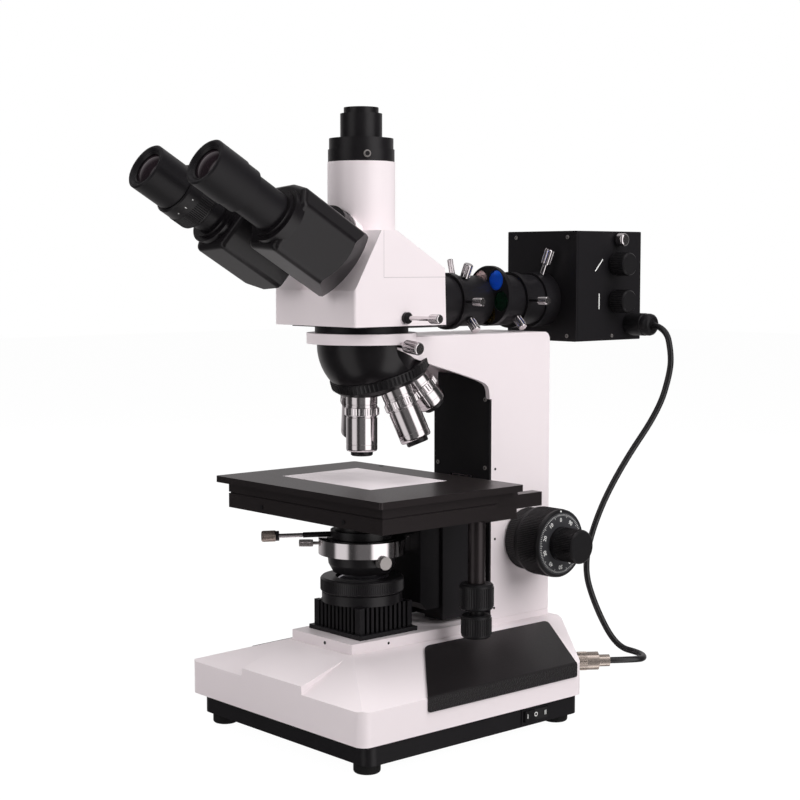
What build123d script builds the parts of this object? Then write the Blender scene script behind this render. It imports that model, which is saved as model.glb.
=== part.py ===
"""Metallurgical microscope, upright, trinocular, with reflected and transmitted light.

Millimetres, +Z up. Modelled about the optical axis (x = y = 0, bench at z = 0,
the user at -Y) and moved on export so that the origin is the bottom centre of
the box round everything but the cord.
"""
from build123d import *
from math import acos, cos, degrees, pi, radians, sin, sqrt, tan
import os

os.makedirs("parts", exist_ok=True)

# ---------------------------------------------------------------- clearances
GAP = 0.3        # between parts that move past each other
FIT = 0.05       # running fit, per radius
CUT = 1.0        # how far a cutting tool overshoots
SKIN = 4.0       # wall of the castings
SHEET = 2.0      # wall of sheet metal boxes

# ---------------------------------------------------------------- base
FOOT_R, FOOT_H = 9.5, 8.0
FEET = ((83.0, -66.0), (80.0, 125.0))
PLATE_HW, PLATE_Y0, PLATE_Y1 = 97.0, -77.4, 130.1
PLATE_REAR_HW, PLATE_REAR = 40.0, 168.0
PLATE_Z0, PLATE_Z1 = FOOT_H, 23.2
PLATE_WALL, PLATE_FLOOR = 3.0, 2.0
COVER_HW, COVER_Y0, COVER_Y1 = 101.4, -85.3, 130.0
COVER_REAR_HW, COVER_REAR = 42.0, 172.0
COVER_Z0, RIM_Z = PLATE_Z1, 47.5
CORNER_R = 8.0
ROOF_HW, ROOF_Y, ROOF_Z = 38.0, -41.0, 68.0
FLANGE_W, FLANGE_H = 11.0, 3.0
TONGUE_HW, TONGUE_FOOT_HW, TONGUE_Z = 34.0, 36.5, 53.3
PLAT_HW0, PLAT_HW1, PLAT_Y0, PLAT_YM, PLAT_Y1 = 34.5, 38.5, -39.0, 70.0, 101.0
PLAT_Z, SEAT_Z = 75.5, 73.0
PAD_T, PAD_Z0 = 1.6, 38.0
PAD_PLAN = ((45.0, 22.0), (101.4, -26.5), (105.0, -26.5), (105.0, 124.6), (101.4, 124.6), (45.0, 153.0))
# rocker switch in the plate's right side, brightness wheel in its left side
SW_Y, SW_Z, SW_L, SW_H = 84.85, 15.5, 28.9, 11.6
SW_BEZEL, SW_DEPTH, SW_RIM = 0.8, 17.0, 1.5
ROCK_PIN_R, ROCK_X, ROCK_SAG, ROCK_TURN = 1.3, PLATE_HW - 5.0, 1.2, 9.0
WHEEL_R, WHEEL_H, WHEEL_X, WHEEL_Y, WHEEL_PIN_R = 12.0, 5.0, 8.5 - PLATE_HW, 85.0, 2.0
# sockets in the back
INLET_W, INLET_H, INLET_Z = 28.0, 20.0, 38.5
PORT_X, PORT_Y, PORT_Z = 75.0, 150.0, 40.5
PORT_DIR = (COVER_REAR - COVER_Y1, COVER_HW - COVER_REAR_HW)
PORT_DIR = tuple(c / sqrt(PORT_DIR[0] ** 2 + PORT_DIR[1] ** 2) for c in PORT_DIR)
PORT_R, PORT_NUT_R, PORT_L = 6.4, 8.6, 7.0
PLUG_R, PLUG_L, PLUG_TAIL_R, PLUG_TAIL_L = 7.0, 18.5, 4.6, 9.0

# ---------------------------------------------------------------- column and arm
COL_HW, COL_Y0, COL_Y1, ARM_Z = 31.2, 101.7, 168.0, 294.0
COL_WALL = 4.2
ARM_UNDER = ((0.0, 286.0), (20.0, 279.5), (43.0, 272.6), (72.0, 264.4), (90.0, 259.0), (97.0, 256.2))
ARM_CORNER = ((100.0, 253.5), (101.3, 250.0), (101.7, 245.0))
ARM_BACK_R = 6.0
PANEL_T, PANEL_Z0, PANEL_Z1, PANEL_Z2 = 2.0, 75.0, 244.0, 262.0
CHANNEL_D = 44.0
ARM_INNER = COL_HW - COL_WALL
SLOT_HW, SLOT_Z0, SLOT_Z1 = 12.5, 92.0, 183.5
RING_R, RING_Z0, RING_Z1 = 40.5, 289.2, 297.0
HEADRING_R, HEADRING_Z = 34.4, 302.9
HEADPLATE_X, HEADPLATE_Y, HEADPLATE_T = 37.0, 35.5, 1.2
LIGHT_R = 13.0
CLAMP_Y, CLAMP_Z, CLAMP_R, CLAMP_TILT = 4.0, 293.1, 4.5, 6.0
CLAMP_X0, CLAMP_ROD, CLAMP_L = 40.8, 4.0, 15.0

# ---------------------------------------------------------------- nosepiece
APEX_Z, TILT, SPREAD = 316.0, 20.0, 20.0
DOME_R, DOME_C, DOME_H, DOME_RIM = 41.0, 30.2, 47.5, 39.5
TUR_R, TUR_H0, TUR_H1, TUR_R2, TUR_H2 = 37.2, 48.0, 55.0, 34.0, 58.5
SEAT_L, BOSS_R, BOSS_L = 66.0, 13.0, 6.0
OBJ_SPIGOT_R, OBJ_SPIGOT_L = 9.5, 4.0
SEATS = {"objective_5x": (144.0, 30.0), "objective_10x": (72.0, 43.0),
         "objective_20x": (0.0, 44.0), "objective_50x": (288.0, 44.0)}
PLUG_SEAT = 216.0
OBJ_R, OBJ_RING_R, OBJ_NOSE_R, OBJ_LENS_R = 11.65, 12.5, 8.2, 4.2
OBJ_SEAM, OBJ_RING0, OBJ_RING1, OBJ_BEVEL = 6.0, 8.0, 14.0, 6.0

# ---------------------------------------------------------------- field lamp under the stage
FIN_HW, FIN_Y0, FIN_Y1, FIN_Z0, FIN_Z1 = 26.4, -24.5, 26.3, 78.7, 98.0
FIN_FLANGE = 3.3
FIN_PITCH, FIN_SLOT, FIN_DEEP = 4.4, 2.0, 5.0
LENSRING_R, LENSRING_Z = 30.0, 105.0
IRIS_R, IRIS_Z, IRIS_TUBE_R = 30.8, 116.4, 26.0
FLENS_R, FLENS_Z0, FLENS_DOME = 20.0, 112.0, 0.5

# ---------------------------------------------------------------- focus and stage
CAR_HW, CAR_Y0, CAR_Y1, CAR_Z0, CAR_Z1 = 28.0, 56.0, 101.3, 78.5, 156.0
TONG_HW, TONG_Y1, TONG_Z0, TONG_Z1 = 12.0, 126.0, 98.0, 165.0
BRK_HW, BRK_Y0, BRK_Y1, BRK_Z0 = 25.0, 36.0, 55.7, 88.0
BRK_CHAMFER, SHELF_Z0, SHELF_Z1, SHELF_Y0 = 12.0, 157.5, 165.0, -26.0
KEY_HW, KEY_D, KEY_Z0 = 8.0, 6.0, 95.0
BASE_HW, BASE_Y0, BASE_Y1, BASE_Z1 = 56.0, -27.0, 54.0, 171.7
MID_HW, MID_Y0, MID_Y1, MID_Z0, MID_Z1 = 89.0, -57.0, 54.0, 172.0, 182.1
SKIRT_T, SKIRT_Z0 = 4.0, 163.2
MID_OPEN_HW, MID_OPEN_Y = 16.0, 41.0
TOP_HW, TOP_Y0, TOP_Y1, TOP_Z0, TOP_Z1 = 95.8, -64.4, 73.4, 182.4, 187.2
SPEC = (-60.0, 43.0, -28.0, 46.0)
SPEC_T, SPEC_LEDGE = 1.5, 6.0
STOP_X, STOP_Y, STOP_R = -57.0, 68.0, 1.6
DRV_X0, DRV_X1, DRV_Y0, DRV_Y1, DRV_Z0 = 57.5, 86.0, 44.0, 77.0, 161.0
BAR_X, BAR_HW, BAR_Y1, BAR_Z0, BAR_Z1 = 80.0, 5.0, 103.5, 168.0, 178.4
XY_X, XY_Y, XY_SLEEVE_R, XY_SLEEVE_Z = 66.5, 54.0, 6.5, 113.3
XY_TUBE_R, XY_SHAFT_R = 4.5, 2.5
YKNOB_R, YKNOB_Z0, YKNOB_Z1 = 12.5, 94.0, 113.0
XKNOB_R, XKNOB_Z0, XKNOB_Z1 = 11.0, 73.0, 90.0
HUB_Y, HUB_Z, HUB_R, HUB_X = 142.0, 132.7, 12.0, 43.2
SLEEVE_R, FINE_SHAFT_R = 8.0, 4.0
TEN_R, TEN_X0, TEN_X1 = 24.0, 31.5, 43.0
CRS_R, CRS_X0, CRS_X1, CRS_RIM = 26.2, 44.0, 68.8, 2.6
CRS_LIP, DIAL_T = 1.6, 1.3
FINE_R, FINE_X1 = 12.8, 91.0

# ---------------------------------------------------------------- condenser
CARR_R, CARR_Z0, CARR_Z1 = 32.4, 133.4, 144.7
CARR_ARM_HW = 14.0
COND_PROFILE = ((0.0, 119.8), (21.6, 119.8), (25.0, 126.0), (26.0, 134.0), (26.0, 144.9), (19.7, 144.9),
                (19.7, 171.0), (12.0, 172.2), (0.0, 172.2))
COND_R, NECK_R = 26.0, 19.7
IRISLEVER_Z0, IRISLEVER_Z1, IRISLEVER_R = 145.3, 151.0, 23.5
RIGHT = (-0.663, -0.749)
LEV_DROP = -0.0368
LEV_FIT_R, LEV_FIT_X, LEV_ROD_R, LEV_ROD_X, LEV_HEAD_R, LEV_HEAD_X = 2.0, 43.8, 1.4, 61.7, 3.7, 74.3
CEN_Z, CEN_ROD_R, CEN_X0, CEN_X1, CEN_HEAD_R = 140.5, 1.2, 36.4, 46.8, 2.6
CLP_DIR, CLP_Z, CLP_ROD_R, CLP_X0, CLP_X1, CLP_HEAD_R = (0.981, -0.196), 130.6, 2.2, 29.0, 36.0, 4.75

# ---------------------------------------------------------------- head
HEAD_HW, HEAD_Y0, HEAD_Y1, HEAD_Z0 = 46.0, -44.8, 42.0, HEADRING_Z
HEAD_TOP, HEAD_FLAT_Y, HEAD_BACK_Y, HEAD_BACK_Z = 371.0, -5.9, 40.8, 344.0
FACE_ANG, FACE_S = 30.0, 203.0
TUBE_R, TUBE_Z0, TUBE_Z1 = 24.7, 340.0, 421.0
PORT1_R, PORT1_Z, PORT2_R, PORT2_Z = 24.3, 430.0, 23.5, 438.0
CAM_R, CAM_Z, CMOUNT_R, CMOUNT_Z, CAM_BORE = 15.3, 456.0, 12.7, 460.4, 10.5
ROD_Y, ROD_Z, ROD_R, ROD_X1 = 2.7, 308.7, 1.7, 82.0
ROD_KNOB_R, ROD_KNOB_L, ROD_IN, ROD_PUSH = 3.3, 10.0, 14.0, 16.0
# the two arms, along e (towards the eye) and u (up the sloping face)
PIVOT_U, BOSSDISC_R, BOSSDISC_S0, BOSSDISC_S1 = 292.7, 30.7, 201.0, 209.0
SPIGOT_R, HUBDISC_R = 12.0, 30.0
RHUB_S0, RHUB_S1, LHUB_S0, LHUB_S1 = 209.3, 214.3, 214.6, 219.6
ARM_S0, ARM_S1 = 220.0, 279.0
TAPER = ((209.0, 44.5), (232.0, 60.5))
ARM_PLAN = ((56.5, -5.0), (46.0, -41.0), (15.5, -38.5), (2.0, -4.0), (4.0, 8.0), (34.0, 11.0), (50.0, 7.5))
ARM_ROUND = 5.0
EYE_X, EYE_V = 35.0, -15.9
FLARE_R, FLARE_S1 = 21.0, 282.5
COLLAR_R, COLLAR_S1 = 17.8, 285.0
EYE_S1, EYE_R, EYE_NECK_R, EYE_TUBE_R = 348.0, 17.0, 16.3, 14.4
EYE_STEP1, EYE_STEP2 = 25.0, 36.0
EYE_IN, CUP_R, CUP_D, EYE_LENS_R, BARREL_BORE = 12.0, 14.6, 4.5, 10.5, 9.0
DIO_R, DIO_S0, DIO_S1, DIO_CORE_R = 19.0, 296.0, 320.0, 15.2

# ---------------------------------------------------------------- illuminator
ILL_Z, ILL_R, ILL_Y0, ILL_REAR_Y, ILL_END = 318.6, 19.6, 42.0, 126.0, 190.7
ILL_R2, ILL_COLLAR_R, ILL_COLLAR_Y = 20.0, 21.9, 175.0
LEV_C_Y0, LEV_C_Y1, LEV_F_Y0, LEV_F_Y1, LEV_RING_T = 84.0, 89.0, 152.5, 157.5, 2.2
LEVER_C_L, LEVER_F_L, LEVER_R, LEVER_KNOB_R, LEVER_KNOB_L = 17.0, 19.0, 1.5, 3.0, 9.0
FW_X, FW_Z, FW_R, FW_Y0, FW_Y1, FW_PIN_R = 12.3, 322.8, 23.0, 118.0, 122.0, 1.6
FW_WIN_R, FW_WIN_PCD = 7.75, 14.5
FW_ANGLES = {"clear": 199.0, "white": 127.0, "blue": 55.0, "green": -17.0, "yellow": -89.0}
THUMBS = ((-13.0, 96.0, 33.0, 1.2, 2.2, 12.0), (24.0, 97.0, 31.0, 1.6, 3.6, 11.0),
          (136.0, 97.0, 31.0, 1.6, 3.6, 11.0), (256.0, 97.0, 31.0, 1.6, 3.6, 11.0),
          (133.0, 147.0, 31.0, 1.6, 3.4, 11.0))
LC_ANG, LC_Y, LC_END, LC_ROD_R, LC_HEAD_R, LC_HEAD_L = 23.0, 182.5, 44.0, 1.9, 3.6, 13.0
BOX_HW, BOX_Y0, BOX_Y1, BOX_Z0, BOX_Z1 = 38.0, 190.7, 268.7, 285.3, 373.4
BOX_HOLE_R = 16.0
LK_Y, LK_Z, LK_R, LK_X1, LK_SHAFT_R = 237.5, (347.0, 317.0), 9.1, 54.0, 3.0
LS_Y, LS_Z, LS_R, LS_ROD_R, LS_L = 240.0, 366.5, 5.3, 2.2, 8.5
OUT_Y, OUT_Z, OUT_R, OUT_X1 = 256.0, 298.0, 9.2, 67.5
CORD_R = 2.5
CORD_ROUTE = ((67.5, 256.0, 298.0), (86.0, 256.0, 298.0), (89.5, 260.0, 279.0), (81.0, 263.0, 258.0),
              (71.7, 251.4, 228.8), (58.1, 222.5, 190.0), (50.8, 203.7, 148.1), (47.8, 192.7, 106.0),
              (54.1, 194.5, 73.6), (66.9, 205.3, 41.5), (83.3, 214.8, 41.0), (101.8, 202.5, 40.5))


# ---------------------------------------------------------------- helpers
LOW = (Align.CENTER, Align.CENTER, Align.MIN)
CORNER = (Align.MIN, Align.MIN, Align.MIN)


def cyl(radius, z0, z1, x=0.0, y=0.0):
    """Upright cylinder between two heights."""
    return Pos(x, y, z0) * Cylinder(radius, z1 - z0, align=LOW)


def ring(radius, bore, z0, z1, x=0.0, y=0.0):
    """Upright ring."""
    return cyl(radius, z0, z1, x, y) - cyl(bore, z0 - CUT, z1 + CUT, x, y)


def block(x0, x1, y0, y1, z0, z1):
    """Box from its limits."""
    return Pos(x0, y0, z0) * Box(x1 - x0, y1 - y0, z1 - z0, align=CORNER)


def along(origin, direction, radius, s0, s1):
    """Cylinder along a direction, between two distances from the origin."""
    place = Plane(origin=origin, z_dir=direction).location
    return place * (Pos(0, 0, s0) * Cylinder(radius, s1 - s0, align=LOW))


def along_x(radius, x0, x1, y, z):
    """Cylinder along X."""
    return along((0, y, z), (1, 0, 0), radius, x0, x1)


def along_y(radius, y0, y1, x=0.0, z=ILL_Z):
    """Cylinder along Y."""
    return along((x, 0, z), (0, 1, 0), radius, y0, y1)


def turned(points, origin=(0, 0, 0), direction=(0, 0, 1)):
    """Solid of revolution of (radius, height) points."""
    face = Plane.XZ * make_face(Polyline(*points, close=True))
    return Plane(origin=origin, z_dir=direction).location * revolve(face, Axis.Z, 360)


def slab(points, z0, z1, radius=0.0):
    """Upright prism of a plan outline, its corners rounded if asked."""
    face = make_face(Polyline(*points, close=True))
    if radius:
        face = fillet(face.vertices(), radius)
    return extrude(Pos(0, 0, z0) * face, amount=z1 - z0, dir=(0, 0, 1))


def side_slab(points, x0, x1):
    """Prism of a (y, z) outline along X."""
    face = Plane.YZ * make_face(Polyline(*points, close=True))
    return extrude(Pos(x0, 0, 0) * face, amount=x1 - x0, dir=(1, 0, 0))


def front_slab(points, y0, y1):
    """Prism of an (x, z) outline along Y."""
    face = Plane.XZ * make_face(Polyline(*points, close=True))
    return extrude(Pos(0, y0, 0) * face, amount=y1 - y0, dir=(0, 1, 0))


def polar(angle, radius):
    """Point in the XZ plane, the angle counted from +Z towards +X."""
    return radius * sin(radians(angle)), radius * cos(radians(angle))


# the three tilted frames
A_DIR = (0.0, sin(radians(TILT)), -cos(radians(TILT)))
APEX = (0.0, 0.0, APEX_Z)
E_DIR = (0.0, -cos(radians(FACE_ANG)), sin(radians(FACE_ANG)))
U_DIR = (0.0, sin(radians(FACE_ANG)), cos(radians(FACE_ANG)))
HEADFRAME = Plane(origin=(0, PIVOT_U * U_DIR[1], PIVOT_U * U_DIR[2]), x_dir=(1, 0, 0), z_dir=E_DIR)


def seat_dir(angle):
    """Direction of the nosepiece seat at an angle round the turret's axis."""
    t, s, f = radians(TILT), radians(SPREAD), radians(angle)
    return (sin(s) * sin(f),
            cos(s) * sin(t) - sin(s) * cos(f) * cos(t),
            -cos(s) * cos(t) - sin(s) * cos(f) * sin(t))


def eye_point(x, v, s):
    """A point of the binocular: x across, v up the face from the pivot, s out along e."""
    u = PIVOT_U + v
    return (x, u * U_DIR[1] + s * E_DIR[1], u * U_DIR[2] + s * E_DIR[2])


def eye_disc(radius, s0, s1, x=0.0, v=0.0):
    """Cylinder along the line of sight."""
    return along(eye_point(x, v, 0), E_DIR, radius, s0, s1)


# ---------------------------------------------------------------- base
def plan_points(hw, y0, y1, rear_hw, rear, inset):
    """Outline with the two rear corners cut off, moved inwards by inset."""
    nx, ny = rear - y1, hw - rear_hw
    length = sqrt(nx * nx + ny * ny)
    nx, ny = nx / length, ny / length
    c = nx * hw + ny * y1 - inset
    h, r = hw - inset, rear - inset
    side, back = (c - nx * h) / ny, (c - ny * r) / nx
    return [(-h, y0 + inset), (h, y0 + inset), (h, side), (back, r), (-back, r), (-h, side)]


def cover_plan(inset):
    return plan_points(COVER_HW, COVER_Y0, COVER_Y1, COVER_REAR_HW, COVER_REAR, inset)


def plate_plan(inset):
    return plan_points(PLATE_HW, PLATE_Y0, PLATE_Y1, PLATE_REAR_HW, PLATE_REAR, inset)


def slope(run0, run1, inset):
    """Rim height and the top end of a roof slope moved inwards by inset."""
    rise = (ROOF_Z - RIM_Z) / abs(run1 - run0)
    tilt = sqrt(1 + rise * rise)
    rim = RIM_Z + rise * inset - inset * tilt
    top = abs(run1 - run0) - (inset * tilt - inset) / rise
    return rim, top


def roof_form(inset):
    """Wall and hip roof of the base cover, moved inwards by inset."""
    body = slab(cover_plan(inset), COVER_Z0, ROOF_Z - inset, max(CORNER_R - inset, 1.0))
    rim, run = slope(COVER_HW, ROOF_HW, inset)
    hw, top = COVER_HW - inset, COVER_HW - run
    sides = front_slab([(-hw, 0), (hw, 0), (hw, rim), (top, ROOF_Z - inset), (-top, ROOF_Z - inset), (-hw, rim)],
                       COVER_Y0 - CUT, COVER_REAR + CUT)
    rim, run = slope(COVER_Y0, ROOF_Y, inset)
    y0 = COVER_Y0 + inset
    front = side_slab([(y0, 0), (y0, rim), (COVER_Y0 + run, ROOF_Z - inset), (COVER_REAR + CUT, ROOF_Z - inset),
                       (COVER_REAR + CUT, 0)], -COVER_HW - 2 * CUT, COVER_HW + 2 * CUT)
    return body & sides & front


def tongue_form(inset):
    """Ramp from the front wall up to the platform."""
    y0 = COVER_Y0 + inset
    ramp = side_slab([(y0, COVER_Z0), (y0, TONGUE_Z - inset), (PLAT_Y0 + inset, ROOF_Z - inset),
                      (PLAT_Y0 + inset, COVER_Z0)], -TONGUE_FOOT_HW, TONGUE_FOOT_HW)
    hw, foot = TONGUE_HW - inset, TONGUE_FOOT_HW - inset
    return ramp & front_slab([(-foot, COVER_Z0), (foot, COVER_Z0), (hw, ROOF_Z), (-hw, ROOF_Z)],
                             COVER_Y0 - CUT, PLAT_Y0 + 2 * SKIN)


def platform_form(inset):
    """Raised platform under the field lamp, and the column's seat behind it."""
    a, b, c = PLAT_HW0 - inset, PLAT_HW1 - inset, COL_HW - inset
    front = slab([(-a, PLAT_Y0 + inset), (a, PLAT_Y0 + inset), (b, PLAT_YM), (c, PLAT_Y1), (-c, PLAT_Y1),
                  (-b, PLAT_YM)], COVER_Z0, PLAT_Z - inset)
    return front + block(-c, c, PLAT_Y1 - CUT, COL_Y1 - inset, COVER_Z0, SEAT_Z - inset)


def base_cover():
    outer = roof_form(0) + tongue_form(0) + platform_form(0)
    edges = outer.edges().filter_by(Axis.X).group_by(Axis.Z)[-1]
    inner = roof_form(SKIN) + tongue_form(SKIN) + platform_form(SKIN)
    lid = COVER_Z0 + FLANGE_H
    inner = inner & block(-COVER_HW, COVER_HW, COVER_Y0, COVER_REAR, lid, PLAT_Z)
    hollow = slab(cover_plan(FLANGE_W), COVER_Z0 - CUT, lid + CUT)
    cover = fillet(outer.edges().filter_by(Axis.Y).group_by(Axis.Z)[-1], SHEET / 2) if edges else outer
    cover = cover - inner - hollow
    cover -= block(-INLET_W / 2, INLET_W / 2, COVER_REAR - 2 * SKIN, COVER_REAR + CUT,
                   INLET_Z - INLET_H / 2, INLET_Z + INLET_H / 2)
    wall = port_wall()
    cover -= along(port_origin(), PORT_DIR + (0,), PORT_R, wall - 2 * SKIN, wall + SKIN)
    cover -= cyl(LIGHT_R / 2, ROOF_Z - 2 * SKIN, PLAT_Z + CUT)
    return cover


def base_plate():
    plate = slab(plate_plan(0), PLATE_Z0, PLATE_Z1, CORNER_R)
    plate -= slab(plate_plan(PLATE_WALL), PLATE_Z0 + PLATE_FLOOR, PLATE_Z1 + CUT, CORNER_R - PLATE_WALL)
    plate -= block(PLATE_HW - 2 * PLATE_WALL, PLATE_HW + CUT, SW_Y - SW_L / 2 + SW_RIM / 2,
                   SW_Y + SW_L / 2 - SW_RIM / 2, SW_Z - SW_H / 2 + SW_RIM / 2, SW_Z + SW_H / 2 - SW_RIM / 2)
    z0 = PLATE_Z0 + PLATE_FLOOR + GAP
    plate -= block(-PLATE_HW - CUT, -PLATE_HW + 2 * PLATE_WALL, WHEEL_Y - WHEEL_R, WHEEL_Y + WHEEL_R,
                   z0, z0 + WHEEL_H + 2 * GAP)
    plate += switch_body() + cyl(WHEEL_PIN_R, PLATE_Z0 + PLATE_FLOOR, z0 + WHEEL_H + 2 * GAP, WHEEL_X, WHEEL_Y)
    return plate


def rubber_feet():
    feet = []
    for x, y in FEET:
        for side in (-1, 1):
            foot = cyl(FOOT_R, 0, FOOT_H, side * x, y)
            feet.append(fillet(foot.edges().filter_by(GeomType.CIRCLE).sort_by(Axis.Z)[0], SHEET))
    return Compound(feet)


def hand_rests():
    shell = roof_form(-PAD_T) - roof_form(0) - tongue_form(0) - platform_form(0)
    pads = []
    for side in (-1, 1):
        outline = [(side * x, y) for x, y in PAD_PLAN]
        pads.append(shell & slab(outline, PAD_Z0, PLAT_Z))
    return Compound([s for p in pads for s in p.solids()])


def switch_body():
    y0, y1 = SW_Y - SW_L / 2, SW_Y + SW_L / 2
    z0, z1 = SW_Z - SW_H / 2, SW_Z + SW_H / 2
    half = SW_RIM / 2
    body = block(PLATE_HW - SW_DEPTH, PLATE_HW, y0 + half, y1 - half, z0 + half, z1 - half)
    body += block(PLATE_HW, PLATE_HW + SW_BEZEL, y0, y1, z0, z1)
    body -= block(ROCK_X - 2 * SW_RIM, PLATE_HW + SW_BEZEL + CUT, y0 + SW_RIM, y1 - SW_RIM,
                  z0 + SW_RIM, z1 - SW_RIM)
    return body - cyl(ROCK_PIN_R + FIT, z0 + SW_RIM - half / 2, z1 - SW_RIM + half / 2, ROCK_X, SW_Y)


def switch_rocker():
    y0, y1 = SW_Y - SW_L / 2 + SW_RIM + GAP, SW_Y + SW_L / 2 - SW_RIM - GAP
    z0, z1 = SW_Z - SW_H / 2 + SW_RIM + GAP, SW_Z + SW_H / 2 - SW_RIM - GAP
    face = PLATE_HW + SW_BEZEL
    swing = (face + ROCK_SAG - ROCK_X) * sin(radians(ROCK_TURN))
    rocker = slab([(ROCK_X - SW_RIM, SW_Y), (ROCK_X + SW_RIM, y0), (face + ROCK_SAG, y0 + swing), (face, SW_Y),
                   (face + ROCK_SAG, y1 - swing), (ROCK_X + SW_RIM, y1)], z0, z1)
    pin = cyl(ROCK_PIN_R, z0 - 2 * GAP, z1 + 2 * GAP, ROCK_X, SW_Y)
    return rocker + pin


def brightness_wheel():
    z0 = PLATE_Z0 + PLATE_FLOOR + 2 * GAP
    wheel = ring(WHEEL_R, WHEEL_PIN_R + FIT, z0, z0 + WHEEL_H - GAP, WHEEL_X, WHEEL_Y)
    grips = 18
    for i in range(grips):
        a = 2 * pi * i / grips
        wheel -= cyl(SHEET / 3, z0 - CUT, z0 + WHEEL_H + CUT, WHEEL_X + WHEEL_R * cos(a), WHEEL_Y + WHEEL_R * sin(a))
    return wheel


def mains_inlet():
    y = COVER_REAR
    w, h = INLET_W / 2, INLET_H / 2
    inlet = block(-w, w, y - SKIN - 3 * SHEET, y, INLET_Z - h, INLET_Z + h)
    inlet += block(-w - SHEET, w + SHEET, y, y + SHEET, INLET_Z - h - SHEET, INLET_Z + h + SHEET)
    inlet -= block(-w + SHEET, w - SHEET, y - SKIN - SHEET, y + SHEET + CUT, INLET_Z - h + SHEET, INLET_Z + h - SHEET)
    for dx, dz in ((-7.0, -2.0), (0.0, 3.0), (7.0, -2.0)):
        inlet += block(dx - SHEET / 2, dx + SHEET / 2, y - SKIN - 2 * SHEET, y - SHEET,
                       INLET_Z + dz - SHEET, INLET_Z + dz + SHEET)
    return inlet


def port_origin():
    return (PORT_X, PORT_Y, PORT_Z)


def port_wall():
    """Distance along the port's axis from its origin to the cover's wall."""
    (x0, y0), (x1, y1) = cover_plan(0)[2], cover_plan(0)[3]
    nx, ny = y1 - y0, x0 - x1
    length = sqrt(nx * nx + ny * ny)
    nx, ny = nx / length, ny / length
    return nx * (x0 - PORT_X) + ny * (y0 - PORT_Y)


def lamp_socket():
    d, w = PORT_DIR + (0,), port_wall()
    socket = along(port_origin(), d, PORT_R, w - SKIN, w + PORT_L)
    socket += along(port_origin(), d, PORT_NUT_R, w, w + SHEET)
    return socket - along(port_origin(), d, PORT_R - SHEET, w - SKIN + SHEET, w + PORT_L + CUT)


def lamp_plug():
    d, w = PORT_DIR + (0,), port_wall()
    o = port_origin()
    start = w + SHEET + GAP
    plug = along(o, d, PLUG_R, start, start + PLUG_L)
    plug -= along(o, d, PORT_R, start - CUT, w + PORT_L)
    tail = start + PLUG_L + PLUG_TAIL_L
    plug += along(o, d, PLUG_TAIL_R, start + PLUG_L, tail)
    return plug


def plug_end():
    """Where the cord leaves the plug."""
    s = port_wall() + SHEET + GAP + PLUG_L + PLUG_TAIL_L
    return (PORT_X + s * PORT_DIR[0], PORT_Y + s * PORT_DIR[1], PORT_Z)


# ---------------------------------------------------------------- column and arm
def channel_form():
    """Hollow of column and arm, open to the front and downwards."""
    hw = COL_HW - COL_WALL
    back = COL_Y0 + CHANNEL_D
    return side_slab([(COL_Y0 - CUT, SEAT_Z - CUT), (back, SEAT_Z - CUT), (back, PANEL_Z2 + SKIN),
                      (60.0, ARM_Z - 2 * SKIN), (30.0, ARM_Z - 2 * SKIN), (30.0, 200.0),
                      (COL_Y0 - CUT, 200.0)], -hw, hw)


def column():
    profile = list(ARM_UNDER) + list(ARM_CORNER) + [(COL_Y0, SEAT_Z), (COL_Y1, SEAT_Z), (COL_Y1, ARM_Z), (0.0, ARM_Z)]
    body = side_slab(profile, -COL_HW, COL_HW)
    back = body.edges().filter_by(Axis.X).sort_by(lambda e: -(e.center().Y + e.center().Z))[0]
    body = fillet(back, ARM_BACK_R)
    body += cyl(RING_R, RING_Z0, RING_Z1)
    body -= channel_form()
    # rebate for the front panel
    body -= block(-COL_HW - CUT, COL_HW + CUT, COL_Y0 - CUT, COL_Y0 + PANEL_T, PANEL_Z0, PANEL_Z1)
    # room for the fixed dome and the turret
    body -= along(APEX, A_DIR, TUR_R + 2 * GAP, TUR_H0 - GAP, TUR_H0 + RING_R)
    body -= dome_form() & block(-ARM_INNER, ARM_INNER, -RING_R, 2 * RING_R, SEAT_Z, RING_Z0)
    # light path, bores for the focus shaft and its hubs
    body -= cyl(LIGHT_R, RING_Z0 - CUT, RING_Z1 + CUT)
    for side in (-1, 1):
        body += along_x(HUB_R, min(side * COL_HW, side * HUB_X), max(side * COL_HW, side * HUB_X), HUB_Y, HUB_Z)
    body += focus_shoulder()
    body -= along_x(SLEEVE_R + FIT, -HUB_X - CUT, HUB_X + CUT, HUB_Y, HUB_Z)
    body -= along((0, CLAMP_Y, CLAMP_Z), clamp_axis(), CLAMP_R / 2 + FIT, CLAMP_X0 - 2 * SKIN, CLAMP_X0 + SKIN)
    return body


def column_panel():
    hw = COL_HW - COL_WALL - GAP
    y1 = COL_Y0 + PANEL_T
    panel = block(-COL_HW, COL_HW, COL_Y0, y1, PANEL_Z0, PANEL_Z1)
    panel += block(-hw, hw, COL_Y0, y1, PANEL_Z1, PANEL_Z2)
    return panel - block(-SLOT_HW, SLOT_HW, COL_Y0 - CUT, y1 + CUT, SLOT_Z0, SLOT_Z1)


def head_ring():
    plate = block(-HEADPLATE_X, HEADPLATE_X, -HEADPLATE_Y, HEADPLATE_Y, HEADRING_Z - HEADPLATE_T, HEADRING_Z)
    return ring(HEADRING_R, LIGHT_R, RING_Z1, HEADRING_Z) + (plate - cyl(LIGHT_R, RING_Z1, HEADRING_Z + CUT))


def clamp_axis():
    return (cos(radians(CLAMP_TILT)), 0.0, -sin(radians(CLAMP_TILT)))


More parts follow.
